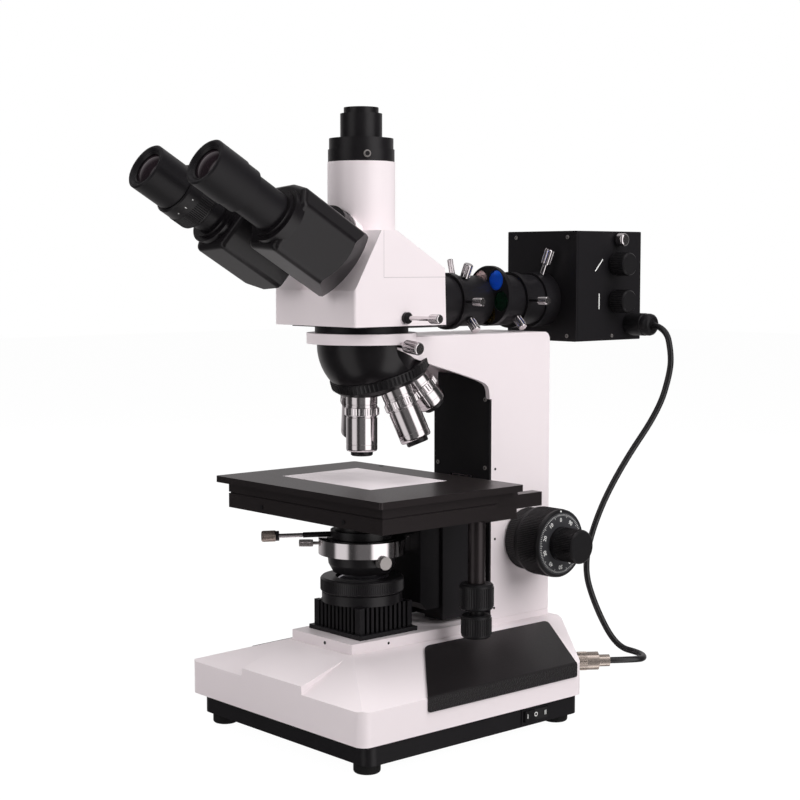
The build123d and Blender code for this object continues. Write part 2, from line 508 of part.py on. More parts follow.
def head_clamp_screw():
    o = (0.0, CLAMP_Y, CLAMP_Z)
    screw = along(o, clamp_axis(), CLAMP_R / 2, CLAMP_X0 - SKIN, CLAMP_X0 + CLAMP_ROD)
    head = along(o, clamp_axis(), CLAMP_R, CLAMP_X0 + CLAMP_ROD, CLAMP_X0 + CLAMP_ROD + CLAMP_L)
    return screw + fillet(head.edges().filter_by(GeomType.CIRCLE), SHEET / 2)


# ---------------------------------------------------------------- nosepiece
def dome_form():
    """Round dome between the arm's ring and the turret."""
    centre = tuple(a + DOME_C * d for a, d in zip(APEX, A_DIR))
    dome = (Pos(*centre) * Sphere(DOME_R)) & along(APEX, A_DIR, 2 * DOME_R, DOME_C - 2 * DOME_R, DOME_H)
    return dome & cyl(DOME_RIM, SEAT_Z, RING_Z0)


def nosepiece_mount():
    dome = dome_form() - cyl(LIGHT_R, SEAT_Z, RING_Z0 + CUT)
    # beside the arm's walls the dome stops at their lower edge
    edge = [(2 * RING_R, RING_Z0 + CUT), (0.0, RING_Z0 + CUT)] + list(ARM_UNDER[:4]) + [(2 * RING_R, ARM_UNDER[3][1])]
    for x0, x1 in ((ARM_INNER, 2 * RING_R), (-2 * RING_R, -ARM_INNER)):
        dome -= side_slab(edge, x0, x1)
    return max(dome.solids(), key=lambda solid: solid.volume)


def nosepiece_turret():
    t = tan(radians(SPREAD))
    h_in = (SEAT_L - SHEET) / cos(radians(SPREAD)) - LIGHT_R / 2 * t
    body = turned([(0, TUR_H0), (TUR_R, TUR_H0), (TUR_R, TUR_H1), (TUR_R2, TUR_H2), (LIGHT_R / 2, h_in), (0, h_in)],
                  APEX, A_DIR)
    for angle in [a for a, _ in SEATS.values()] + [PLUG_SEAT]:
        body += along(APEX, seat_dir(angle), BOSS_R, SEAT_L - 2 * BOSS_L, SEAT_L)
    for angle, _ in SEATS.values():
        body -= along(APEX, seat_dir(angle), OBJ_SPIGOT_R + FIT, TUR_H0 - CUT, SEAT_L + CUT)
        body -= along(APEX, seat_dir(angle), BOSS_R, SEAT_L, SEAT_L + 2 * BOSS_L)
    body += along(APEX, seat_dir(PLUG_SEAT), BOSS_R - SHEET, SEAT_L, SEAT_L + SHEET)
    keep = along(APEX, A_DIR, 2 * TUR_R, TUR_H0, 2 * SEAT_L)
    return body & keep


def objective(name):
    angle, length = SEATS[name]
    tip = SEAT_L + length
    nose = tip - OBJ_BEVEL
    groove = SHEET / 4
    s = SEAT_L
    points = [(0, s - OBJ_SPIGOT_L), (OBJ_SPIGOT_R, s - OBJ_SPIGOT_L), (OBJ_SPIGOT_R, s), (OBJ_R, s),
              (OBJ_R, s + OBJ_SEAM - groove), (OBJ_R - groove, s + OBJ_SEAM - groove),
              (OBJ_R - groove, s + OBJ_SEAM + groove), (OBJ_R, s + OBJ_SEAM + groove),
              (OBJ_R, s + OBJ_RING0), (OBJ_RING_R, s + OBJ_RING0), (OBJ_RING_R, s + OBJ_RING1),
              (OBJ_R, s + OBJ_RING1), (OBJ_R, nose), (OBJ_NOSE_R, nose + OBJ_BEVEL * 0.6),
              (OBJ_NOSE_R, tip - SHEET), (OBJ_NOSE_R - SHEET, tip), (OBJ_LENS_R, tip), (OBJ_LENS_R, tip - CUT),
              (0, tip - CUT)]
    return turned(points, APEX, seat_dir(angle))


# ---------------------------------------------------------------- field lamp
def field_lamp_housing():
    y_mid = (FIN_Y0 + FIN_Y1) / 2
    half = (FIN_Y1 - FIN_Y0) / 2
    lamp = block(-FIN_HW, FIN_HW, FIN_Y0, FIN_Y1, FIN_Z0, FIN_Z1)
    lamp += block(-FIN_HW - FIN_FLANGE, FIN_HW + FIN_FLANGE, FIN_Y0 - FIN_FLANGE + CUT, FIN_Y1 + FIN_FLANGE - CUT,
                  PLAT_Z, FIN_Z0)
    count = int(2 * (FIN_HW - FIN_DEEP) / FIN_PITCH)
    for i in range(count + 1):
        d = (i - count / 2) * FIN_PITCH
        a, b = d - FIN_SLOT / 2, d + FIN_SLOT / 2
        lamp -= block(a, b, FIN_Y0 - CUT, FIN_Y0 + FIN_DEEP, FIN_Z0, FIN_Z1 + CUT)
        lamp -= block(a, b, FIN_Y1 - FIN_DEEP, FIN_Y1 + CUT, FIN_Z0, FIN_Z1 + CUT)
        if abs(d) < half - FIN_DEEP:
            lamp -= block(FIN_HW - FIN_DEEP, FIN_HW + CUT, y_mid + a, y_mid + b, FIN_Z0, FIN_Z1 + CUT)
            lamp -= block(-FIN_HW - CUT, -FIN_HW + FIN_DEEP, y_mid + a, y_mid + b, FIN_Z0, FIN_Z1 + CUT)
    return lamp - cyl(LIGHT_R, PLAT_Z - CUT, FIN_Z1 + CUT)


def field_lens_mount():
    mount = cyl(LENSRING_R, FIN_Z1, LENSRING_Z) + cyl(IRIS_TUBE_R, LENSRING_Z, IRIS_Z)
    mount -= cyl(LIGHT_R, FIN_Z1 - CUT, IRIS_Z)
    return mount - cyl(FLENS_R, FLENS_Z0, IRIS_Z + CUT)


def field_lens():
    return turned([(0, FLENS_Z0), (FLENS_R, FLENS_Z0), (FLENS_R, IRIS_Z - SHEET), (FLENS_R * 0.7, IRIS_Z),
                   (0, IRIS_Z + FLENS_DOME)])


def field_iris_ring():
    knurl = ring(IRIS_R, IRIS_TUBE_R + FIT, LENSRING_Z + GAP, IRIS_Z)
    outer = knurl.edges().filter_by(GeomType.CIRCLE).filter_by(lambda e: e.radius > IRIS_TUBE_R + CUT)
    return chamfer(outer, CUT)


# ---------------------------------------------------------------- focus
def focus_carriage():
    body = block(-CAR_HW, CAR_HW, CAR_Y0, CAR_Y1, CAR_Z0, CAR_Z1)
    body = chamfer(body.edges().filter_by(Axis.X).group_by(Axis.Z)[-1], SHEET)
    body += block(-TONG_HW, TONG_HW, CAR_Y1, TONG_Y1, TONG_Z0, TONG_Z1)
    key = KEY_HW + FIT
    return body - block(-key, key, CAR_Y0 - CUT, CAR_Y0 + KEY_D + FIT, CAR_Z0 - CUT, CAR_Z1 + CUT)


def stage_bracket():
    top = SHELF_Z1
    arm = side_slab([(BRK_Y0, BRK_Z0), (BRK_Y1, BRK_Z0), (BRK_Y1, top), (SHELF_Y0, top), (SHELF_Y0, SHELF_Z0),
                     (BRK_Y0, SHELF_Z0)], -BRK_HW, BRK_HW)
    arm = chamfer(arm.edges().filter_by(Axis.X).sort_by(Axis.Z)[0:2].sort_by(Axis.Y)[0], BRK_CHAMFER / 2)
    arm += block(-KEY_HW, KEY_HW, BRK_Y1, CAR_Y0 + KEY_D, KEY_Z0, CAR_Z1 - SHEET)
    return arm - cyl(NECK_R + 2 * GAP, SHELF_Z0 - CUT, top + CUT)


def stage_base():
    base = block(-BASE_HW, BASE_HW, BASE_Y0, BASE_Y1, SHELF_Z1, BASE_Z1)
    return base - cyl(NECK_R + 2 * GAP, SHELF_Z1 - CUT, BASE_Z1 + CUT)


def knob_band(x0, x1, radius):
    """Knob along X with softened rims."""
    knob = along_x(radius, x0, x1, HUB_Y, HUB_Z)
    return chamfer(knob.edges().filter_by(GeomType.CIRCLE), CUT)


def coarse_knobs():
    left = knob_band(-CRS_X1, -CRS_X0, CRS_R)
    left += along_x(SLEEVE_R, -CRS_X0, CRS_X0 + HUB_R, HUB_Y, HUB_Z)
    left -= along_x(FINE_SHAFT_R + FIT, -CRS_X1 - CUT, CRS_X0 + HUB_R + CUT, HUB_Y, HUB_Z)
    right = knob_band(CRS_X0, CRS_X1, CRS_R)
    right -= along_x(SLEEVE_R, CRS_X0 - CUT, CRS_X0 + HUB_R, HUB_Y, HUB_Z)
    right -= along_x(CRS_R - CRS_RIM, CRS_X1 - CRS_LIP, CRS_X1 + CUT, HUB_Y, HUB_Z)
    right -= along_x(FINE_SHAFT_R + FIT, CRS_X0 - CUT, CRS_X1 + CUT, HUB_Y, HUB_Z)
    return Compound([left, right])


def fine_knobs():
    left = knob_band(-FINE_X1, -CRS_X1 - GAP, FINE_R)
    left += along_x(FINE_SHAFT_R, -CRS_X1 - GAP, CRS_X1 + HUB_R, HUB_Y, HUB_Z)
    x0 = CRS_X1 - CRS_LIP + GAP
    right = knob_band(x0 + DIAL_T, FINE_X1, FINE_R)
    right += along_x(CRS_R - CRS_RIM - GAP, x0, x0 + DIAL_T, HUB_Y, HUB_Z)
    right -= along_x(FINE_SHAFT_R, x0 - CUT, CRS_X1 + HUB_R, HUB_Y, HUB_Z)
    return Compound([left, right])


def tension_ring():
    ringed = along_x(TEN_R, TEN_X0, TEN_X1, HUB_Y, HUB_Z)
    ringed = chamfer(ringed.edges().filter_by(GeomType.CIRCLE), CUT)
    return ringed - along_x(HUB_R + FIT, TEN_X0 - CUT, TEN_X1 + CUT, HUB_Y, HUB_Z)


def focus_shoulder():
    ringed = along_x(TEN_R, -TEN_X1, -COL_HW, HUB_Y, HUB_Z)
    ringed = chamfer(ringed.edges().filter_by(GeomType.CIRCLE).sort_by(Axis.X)[0], CUT)
    return ringed - along_x(HUB_R, -TEN_X1 - CUT, -COL_HW + CUT, HUB_Y, HUB_Z)


# ---------------------------------------------------------------- stage
def stage_middle():
    body = block(-MID_HW, MID_HW, MID_Y0, MID_Y1, MID_Z0, MID_Z1)
    body += block(-MID_HW, MID_HW, MID_Y0, MID_Y0 + SKIRT_T, SKIRT_Z0, MID_Z0)
    for side in (-1, 1):
        a, b = side * MID_HW, side * (MID_HW - SKIRT_T)
        body += block(min(a, b), max(a, b), MID_Y0, MID_Y1, SKIRT_Z0, MID_Z0)
    groove = SHEET / 2
    z = MID_Z0 + SHEET
    inner = block(-MID_HW + groove, MID_HW - groove, MID_Y0 + groove, MID_Y1 + CUT, z - CUT, z + 2 * CUT)
    body -= block(-MID_HW - CUT, MID_HW + CUT, MID_Y0 - CUT, MID_Y1 + CUT, z, z + groove) - inner
    body += stage_drive_housing()
    return body - block(-MID_OPEN_HW, MID_OPEN_HW, -MID_OPEN_Y, MID_OPEN_Y, MID_Z0 - CUT, MID_Z1 + CUT)


def stage_drive_housing():
    body = block(DRV_X0, DRV_X1 - CUT, DRV_Y0, DRV_Y1, DRV_Z0, MID_Z0)
    body += block(DRV_X0, DRV_X1, MID_Y1, DRV_Y1, MID_Z0, MID_Z1)
    body += block(BAR_X - BAR_HW, BAR_X + BAR_HW, DRV_Y1, BAR_Y1, BAR_Z0, BAR_Z1)
    body += cyl(XY_SLEEVE_R, XY_SLEEVE_Z, DRV_Z0, XY_X, XY_Y)
    return body - cyl(XY_TUBE_R + FIT, XY_SLEEVE_Z - CUT, DRV_Z0 + SKIN, XY_X, XY_Y)


def drop_knob(radius, z0, z1):
    knob = cyl(radius, z0, z1, XY_X, XY_Y)
    return chamfer(knob.edges().filter_by(GeomType.CIRCLE), CUT)


def stage_y_knob():
    knob = drop_knob(YKNOB_R, YKNOB_Z0, YKNOB_Z1)
    knob += cyl(XY_TUBE_R, YKNOB_Z1, DRV_Z0 + SKIN - GAP, XY_X, XY_Y)
    return knob - cyl(XY_SHAFT_R + FIT, YKNOB_Z0 - CUT, DRV_Z0 + SKIN, XY_X, XY_Y)


def stage_x_knob():
    knob = drop_knob(XKNOB_R, XKNOB_Z0, XKNOB_Z1)
    knob += cyl(XY_SHAFT_R * 2, XKNOB_Z1, YKNOB_Z0 - GAP, XY_X, XY_Y)
    return knob + cyl(XY_SHAFT_R, YKNOB_Z0 - GAP, DRV_Z0 + SKIN - GAP, XY_X, XY_Y)


def stage_top():
    x0, x1, y0, y1 = SPEC
    top = block(-TOP_HW, TOP_HW, TOP_Y0, TOP_Y1, TOP_Z0, TOP_Z1)
    top = fillet(top.edges().filter_by(Axis.Z), SHEET)
    top -= block(x0, x1, y0, y1, TOP_Z1 - SPEC_T, TOP_Z1 + CUT)
    e = SPEC_LEDGE
    top -= block(x0 + e, x1 - e, y0 + e, y1 - e, TOP_Z0 - CUT, TOP_Z1)
    return top - cyl(STOP_R, TOP_Z1 - SHEET, TOP_Z1 + CUT, STOP_X, STOP_Y)


def specimen_plate():
    x0, x1, y0, y1 = SPEC
    return block(x0 + FIT, x1 - FIT, y0 + FIT, y1 - FIT, TOP_Z1 - SPEC_T, TOP_Z1)


# ---------------------------------------------------------------- condenser
def condenser_carrier():
    carrier = cyl(CARR_R, CARR_Z0, CARR_Z1) + block(-CARR_ARM_HW, CARR_ARM_HW, 0, BRK_Y0, CARR_Z0, CARR_Z1)
    return carrier - cyl(COND_R, CARR_Z0 - CUT, CARR_Z1 + CUT)


def condenser_body():
    return turned(COND_PROFILE)


def condenser_iris_lever():
    z = (IRISLEVER_Z0 + IRISLEVER_Z1) / 2
    d = RIGHT + (LEV_DROP,)
    lever = cyl(IRISLEVER_R, IRISLEVER_Z0, IRISLEVER_Z1)
    lever += along((0, 0, z), d, LEV_FIT_R, NECK_R, LEV_FIT_X)
    lever += along((0, 0, z), d, LEV_ROD_R, LEV_FIT_X, LEV_ROD_X)
    lever += along((0, 0, z), d, LEV_HEAD_R, LEV_ROD_X, LEV_HEAD_X)
    return lever - cyl(NECK_R + FIT, IRISLEVER_Z0 - CUT, IRISLEVER_Z1 + CUT)


def condenser_centring_screw():
    d = RIGHT + (0,)
    screw = along((0, 0, CEN_Z), d, CEN_ROD_R, CARR_R - SHEET, CEN_X0)
    return (screw - cyl(CARR_R, CARR_Z0, CARR_Z1)) + along((0, 0, CEN_Z), d, CEN_HEAD_R, CEN_X0, CEN_X1)


def condenser_clamp_screw():
    d = CLP_DIR + (0,)
    rod = along((0, 0, CLP_Z), d, CLP_ROD_R, COND_R - SHEET, CLP_X0) - condenser_body() - condenser_carrier()
    return rod + along((0, 0, CLP_Z), d, CLP_HEAD_R, CLP_X0, CLP_X1) - condenser_carrier()


# ---------------------------------------------------------------- head
def head_block():
    """Head housing without its bores."""
    k, c, s = FACE_S, cos(radians(FACE_ANG)), sin(radians(FACE_ANG))
    z_face = (k + c * HEAD_Y0) / s
    y_face = (s * HEAD_TOP - k) / c
    return side_slab([(HEAD_Y0, HEAD_Z0), (HEAD_Y0, z_face), (y_face, HEAD_TOP), (HEAD_FLAT_Y, HEAD_TOP),
                      (HEAD_BACK_Y, HEAD_BACK_Z), (HEAD_Y1, HEAD_Z0)], -HEAD_HW, HEAD_HW)


def head_housing():
    body = head_block()
    body = fillet(body.edges().filter_by(Axis.Z), SHEET)
    body += eye_disc(BOSSDISC_R, BOSSDISC_S0, BOSSDISC_S1)
    body += eye_disc(SPIGOT_R, BOSSDISC_S1, LHUB_S1 - GAP)
    body -= along_x(ROD_R + FIT, HEAD_HW - ROD_IN - ROD_PUSH - SKIN, HEAD_HW + CUT, ROD_Y, ROD_Z)
    return body - cyl(LIGHT_R, HEAD_Z0 - CUT, HEAD_TOP + CUT)


def photo_tube():
    tube = cyl(TUBE_R, TUBE_Z0, TUBE_Z1) - head_block() - eye_disc(BOSSDISC_R, BOSSDISC_S0, BOSSDISC_S1)
    tube -= eye_disc(HUBDISC_R + 2 * GAP, BOSSDISC_S0, ARM_S0)
    tube = max(tube.solids(), key=lambda s: s.volume)
    return tube - cyl(LIGHT_R, TUBE_Z0 - CUT, TUBE_Z1 + CUT)


def photo_port():
    return turned([(LIGHT_R, TUBE_Z1), (PORT1_R, TUBE_Z1), (PORT1_R, PORT1_Z), (PORT2_R, PORT1_Z),
                   (PORT2_R, PORT2_Z), (LIGHT_R, PORT2_Z)])


def camera_adapter():
    return turned([(CAM_BORE, PORT2_Z), (CAM_R, PORT2_Z), (CAM_R, CAM_Z), (CMOUNT_R, CAM_Z), (CMOUNT_R, CMOUNT_Z),
                   (CAM_BORE, CMOUNT_Z)])


def splitter_rod():
    rod = along_x(ROD_R, HEAD_HW - ROD_IN, ROD_X1 - ROD_KNOB_L, ROD_Y, ROD_Z)
    knob = along_x(ROD_KNOB_R, ROD_X1 - ROD_KNOB_L, ROD_X1, ROD_Y, ROD_Z)
    return rod + fillet(knob.edges().filter_by(GeomType.CIRCLE), CUT)


def arm_body(side):
    """Body of one prism arm, its corners rounded."""
    # the head frame's own y axis points down the face for this x and z pair
    up = 1 if HEADFRAME.y_dir.Z > 0 else -1
    outline = [(side * x, up * v) for x, v in ARM_PLAN]
    face = fillet(make_face(Polyline(*outline, close=True)).vertices(), ARM_ROUND)
    body = extrude(Pos(0, 0, ARM_S0) * face, amount=ARM_S1 - ARM_S0, dir=(0, 0, 1))
    front = body.edges().group_by(Axis.Z)[-1]
    body = fillet(front, ARM_ROUND * 0.8)
    return HEADFRAME.location * body


def taper_form():
    """Cone about the pivot that rounds off the arms towards the head."""
    (s0, r0), (s1, r1) = TAPER
    return turned([(0, s0 - CUT), (r0, s0 - CUT), (r0, s0), (r1, s1), (2 * r1, s1), (2 * r1, EYE_S1), (0, EYE_S1)],
                  eye_point(0, 0, 0), E_DIR)


def arm_link(side):
    """Plate that carries the right arm past the other hub."""
    up = 1 if HEADFRAME.y_dir.Z > 0 else -1
    outline = [(side * x, up * v) for x, v in ARM_PLAN]
    face = fillet(make_face(Polyline(*outline, close=True)).vertices(), ARM_ROUND)
    body = extrude(Pos(0, 0, RHUB_S0) * face, amount=ARM_S0 - RHUB_S0, dir=(0, 0, 1))
    body -= Pos(0, 0, RHUB_S1) * Cylinder(HUBDISC_R + CUT, ARM_S0 - RHUB_S1, align=LOW)
    return HEADFRAME.location * body


def prism_arm(side):
    lo, hi = (RHUB_S0, RHUB_S1) if side > 0 else (LHUB_S0, LHUB_S1)
    arm = eye_disc(HUBDISC_R, lo, hi)
    if side > 0:
        arm += arm_link(side)
    else:
        arm += eye_disc(HUBDISC_R / 2, hi, ARM_S0) & arm_backing(side)
    arm += arm_body(side)
    arm = arm & taper_form()
    x = side * EYE_X
    arm += eye_disc(FLARE_R, ARM_S1 - ARM_ROUND, FLARE_S1, x, EYE_V)
    arm += eye_disc(COLLAR_R, ARM_S1 - ARM_ROUND, COLLAR_S1, x, EYE_V)
    arm -= eye_disc(SPIGOT_R + FIT, lo - CUT, hi if side < 0 else hi + CUT)
    return arm - eye_disc(EYE_TUBE_R, COLLAR_S1 - EYE_IN, COLLAR_S1 + CUT, x, EYE_V)


def arm_backing(side):
    """Stretches an arm's outline back to its own hub."""
    up = 1 if HEADFRAME.y_dir.Z > 0 else -1
    outline = [(side * x, up * v) for x, v in ARM_PLAN]
    return HEADFRAME.location * extrude(
        Pos(0, 0, LHUB_S1) * make_face(Polyline(*outline, close=True)), amount=ARM_S0 - LHUB_S1, dir=(0, 0, 1))


def eyepiece(side):
    x = side * EYE_X
    base = eye_point(x, EYE_V, 0)
    s0, s1 = COLLAR_S1 - EYE_IN, EYE_S1
    low = [(EYE_TUBE_R, s1 - EYE_STEP2), (EYE_NECK_R, s1 - EYE_STEP2), (EYE_NECK_R, s1 - EYE_STEP1)]
    if side < 0:
        low = [(EYE_TUBE_R, DIO_S0 - CUT), (DIO_CORE_R, DIO_S0 - CUT), (DIO_CORE_R, DIO_S1 + GAP)]
    step = low[-1][1]
    points = [(0, s0), (EYE_TUBE_R, s0)] + low + [(EYE_R, step), (EYE_R, s1 - CUT), (EYE_R - CUT, s1),
              (CUP_R, s1), (EYE_LENS_R, s1 - CUP_D), (EYE_LENS_R, s1 - CUP_D - CUT), (0, s1 - CUP_D)]
    return turned(points, base, E_DIR)


def diopter_ring():
    x = -EYE_X
    outer = eye_disc(DIO_R, DIO_S0, DIO_S1, x, EYE_V)
    outer = chamfer(outer.edges().filter_by(GeomType.CIRCLE), CUT)
    return outer - eye_disc(DIO_CORE_R + FIT, DIO_S0 - CUT, DIO_S1 + CUT, x, EYE_V)


# ---------------------------------------------------------------- illuminator
def illuminator_tube():
    tube = along_y(ILL_R, ILL_Y0, ILL_REAR_Y) + along_y(ILL_R2, ILL_REAR_Y, ILL_COLLAR_Y)
    tube += along_y(ILL_COLLAR_R, ILL_COLLAR_Y, ILL_END)
    tube -= along_y(FW_R + 2 * GAP, FW_Y0 - GAP, FW_Y1 + GAP, FW_X, FW_Z)
    tube -= along_y(LIGHT_R - 2 * SHEET, ILL_Y0 - CUT, ILL_END + CUT)
    tube = Compound(tube.solids())
    return tube + along_y(FW_PIN_R, FW_Y0 - SHEET, FW_Y1 + SHEET, FW_X, FW_Z)


def lever_ring(y0, y1, radius, length):
    ringed = along_y(radius + FIT + LEV_RING_T, y0, y1) - along_y(radius + FIT, y0 - CUT, y1 + CUT)
    y = (y0 + y1) / 2
    edge = radius + LEV_RING_T
    lever = along_x(LEVER_R, edge - CUT / 2, edge + length - LEVER_KNOB_L, y, ILL_Z)
    knob = along_x(LEVER_KNOB_R, edge + length - LEVER_KNOB_L, edge + length, y, ILL_Z)
    return ringed + lever + chamfer(knob.edges().filter_by(GeomType.CIRCLE), CUT / 2)


def filter_wheel():
    wheel = along_y(FW_R, FW_Y0, FW_Y1, FW_X, FW_Z)
    for angle in FW_ANGLES.values():
        x = FW_X + FW_WIN_PCD * cos(radians(angle))
        z = FW_Z + FW_WIN_PCD * sin(radians(angle))
        wheel -= along_y(FW_WIN_R, FW_Y0 - CUT, FW_Y1 + CUT, x, z)
    return wheel - along_y(FW_PIN_R + FIT, FW_Y0 - CUT, FW_Y1 + CUT, FW_X, FW_Z)


def filter_glass(name):
    angle = FW_ANGLES[name]
    x = FW_X + FW_WIN_PCD * cos(radians(angle))
    z = FW_Z + FW_WIN_PCD * sin(radians(angle))
    mid = (FW_Y0 + FW_Y1) / 2
    return along_y(FW_WIN_R, mid - CUT, mid + CUT, x, z)


def thumb(angle, y, end, rod_r, head_r, head_l):
    """Thumb screw standing on the illuminator tube."""
    x, z = polar(angle, 1.0)
    o = (0, y, ILL_Z)
    radius = ILL_R if y < ILL_REAR_Y else ILL_R2
    rod = along(o, (x, 0, z), rod_r, radius - SHEET, end - head_l) - along_y(radius, y - SKIN, y + SKIN)
    head = along(o, (x, 0, z), head_r, end - head_l, end)
    return rod + chamfer(head.edges().filter_by(GeomType.CIRCLE), CUT / 2)


def lamp_clamp_screw():
    x, z = polar(LC_ANG, 1.0)
    o = (0, LC_Y, ILL_Z)
    start = ILL_COLLAR_R + GAP
    rod = along(o, (x, 0, z), LC_ROD_R, start, LC_END - LC_HEAD_L)
    head = along(o, (x, 0, z), LC_HEAD_R, LC_END - LC_HEAD_L, LC_END)
    return rod + chamfer(head.edges().filter_by(GeomType.CIRCLE), CUT / 2)


def lamp_box():
    box = block(-BOX_HW, BOX_HW, BOX_Y0, BOX_Y1, BOX_Z0, BOX_Z1)
    box = fillet(box.edges().filter_by(Axis.Y), SHEET / 2)
    t = SHEET
    box -= block(-BOX_HW + t, BOX_HW - t, BOX_Y0 + t, BOX_Y1 - t, BOX_Z0 + t, BOX_Z1 - t)
    box -= along_y(BOX_HOLE_R, BOX_Y0 - CUT, BOX_Y0 + 2 * t)
    for z in LK_Z:
        box -= along_x(LK_SHAFT_R + FIT, BOX_HW - 2 * t, BOX_HW + CUT, LK_Y, z)
    return box


def lamp_knob(z):
    knob = along_x(LK_R, BOX_HW + GAP, LK_X1, LK_Y, z)
    knob = chamfer(knob.edges().filter_by(GeomType.CIRCLE), CUT)
    return knob + along_x(LK_SHAFT_R, BOX_HW - 2 * SHEET, BOX_HW + GAP, LK_Y, z)


def lamp_cover_screw():
    rod = along_x(LS_ROD_R, BOX_HW, BOX_HW + SHEET, LS_Y, LS_Z)
    head = along_x(LS_R, BOX_HW + SHEET, BOX_HW + LS_L, LS_Y, LS_Z)
    return rod + fillet(head.edges().filter_by(GeomType.CIRCLE).sort_by(Axis.X)[-1], SHEET)


def cable_outlet():
    outlet = along_x(OUT_R, BOX_HW, OUT_X1, OUT_Y, OUT_Z)
    return fillet(outlet.edges().filter_by(GeomType.CIRCLE).sort_by(Axis.X)[-1], SKIN)


def cord_points():
    return [Vector(*p) for p in CORD_ROUTE] + [cord_lead(), Vector(*plug_end())]


def cord_lead():
    """Last corner, straight out from the plug."""
    lead = 17.0
    x, y, z = plug_end()
    return Vector(x + lead * PORT_DIR[0], y + lead * PORT_DIR[1], z)


def bend_radius(points, i):
    """Largest neat bend at corner i."""
    before, after = points[i] - points[i - 1], points[i + 1] - points[i]
    turn = radians(before.get_angle(after))
    return 0.45 * min(before.length, after.length) / tan(turn / 2)


def lamp_cord():
    points = cord_points()
    radii = [bend_radius(points, i) for i in range(1, len(points) - 1)]
    print("cord bend radii", [round(r, 1) for r in radii])
    path = FilletPolyline(*points, radius=radii)
    start = points[1] - points[0]
    profile = Plane(origin=points[0], z_dir=start) * Circle(CORD_R)
    return sweep(profile, path=path)


# ---------------------------------------------------------------- all nodes
def all_nodes():
    nodes = {
        "base_plate": base_plate(), "rubber_feet": rubber_feet(), "base_cover": base_cover(),
        "hand_rests": hand_rests(), "mains_inlet": mains_inlet(),
        "lamp_socket": lamp_socket(), "column": column(), "column_panel": column_panel(),
        "head_ring": head_ring(), "nosepiece_mount": nosepiece_mount(),
        "field_lamp_housing": field_lamp_housing(), "field_lens_mount": field_lens_mount(),
        "field_lens": field_lens(), "head_housing": head_housing(),
        "photo_tube": photo_tube(), "photo_port": photo_port(), "camera_adapter": camera_adapter(),
        "illuminator_tube": illuminator_tube(),
        "lamp_box": lamp_box(), "cable_outlet": cable_outlet(),
        "lamp_cord": lamp_cord(), "lamp_plug": lamp_plug(),
        "thumb_screws": Compound([thumb(*t) for t in THUMBS] + [lamp_cover_screw()]),
        "switch_rocker": switch_rocker(), "brightness_wheel": brightness_wheel(),
        "field_iris_ring": field_iris_ring(), "focus_carriage": focus_carriage(),
        "stage_bracket": stage_bracket(), "stage_base": stage_base(),
        "condenser_carrier": condenser_carrier(), "condenser_body": condenser_body(),
        "condenser_screws": Compound([condenser_centring_screw(), condenser_clamp_screw()]),
        "condenser_iris_lever": condenser_iris_lever(),
        "coarse_knobs": coarse_knobs(), "fine_knobs": fine_knobs(), "tension_ring": tension_ring(),
        "stage_middle": stage_middle(),
        "stage_y_knob": stage_y_knob(), "stage_x_knob": stage_x_knob(),
        "stage_top": stage_top(), "specimen_plate": specimen_plate(),
        "nosepiece_turret": nosepiece_turret(),
        "prism_arm_right": prism_arm(1), "eyepiece_right": eyepiece(1),
        "prism_arm_left": prism_arm(-1), "eyepiece_left": eyepiece(-1), "diopter_ring": diopter_ring(),
        "splitter_rod": splitter_rod(), "head_clamp_screw": head_clamp_screw(),
        "lamp_clamp_screw": lamp_clamp_screw(),
        "aperture_lever": lever_ring(LEV_C_Y0, LEV_C_Y1, ILL_R, LEVER_C_L),
        "field_lever": lever_ring(LEV_F_Y0, LEV_F_Y1, ILL_R2, LEVER_F_L),
        "filter_wheel": filter_wheel(),
        "filter_glasses": Compound([filter_glass(n) for n in FW_ANGLES if n != "clear"]),
        "lamp_knob_upper": lamp_knob(LK_Z[0]), "lamp_knob_lower": lamp_knob(LK_Z[1]),
    }
    for name in SEATS:
        nodes[name] = objective(name)
    return nodes


# Front: the lowest point of an eyepiece rim. Back: the lamp box.
REACH_FRONT = eye_point(0, EYE_V, EYE_S1)[1] - EYE_R * U_DIR[1]
AXIS_Y = -(REACH_FRONT + BOX_Y1) / 2

if __name__ == "__main__":
    for name, shape in all_nodes().items():
        solid = Pos(0, AXIS_Y, 0) * shape
        export_step(solid, f"parts/{name}.step")
        box = solid.bounding_box()
        print(name, len(solid.solids()), "solids", round(shape.volume / 1000, 1), "cm3",
              "z", round(box.min.Z, 1), round(box.max.Z, 1))
    print("axis at y", round(AXIS_Y, 3))
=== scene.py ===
# %% [markdown]
# # A metallurgical microscope, dressed for the camera
# The solid model comes from CAD and is loaded as a fixed frame: its nodes are never moved or
# reshaped here. Blender adds what a turned, knurled, enamelled instrument shows up close: the
# finishes, the knurls on every knob, the screw heads, the lenses, the dial and the lamp cord.

# %% Load the fixed frame
from math import cos, pi, radians, sin, sqrt
import bmesh
import bpy
from mathutils import Matrix, Vector


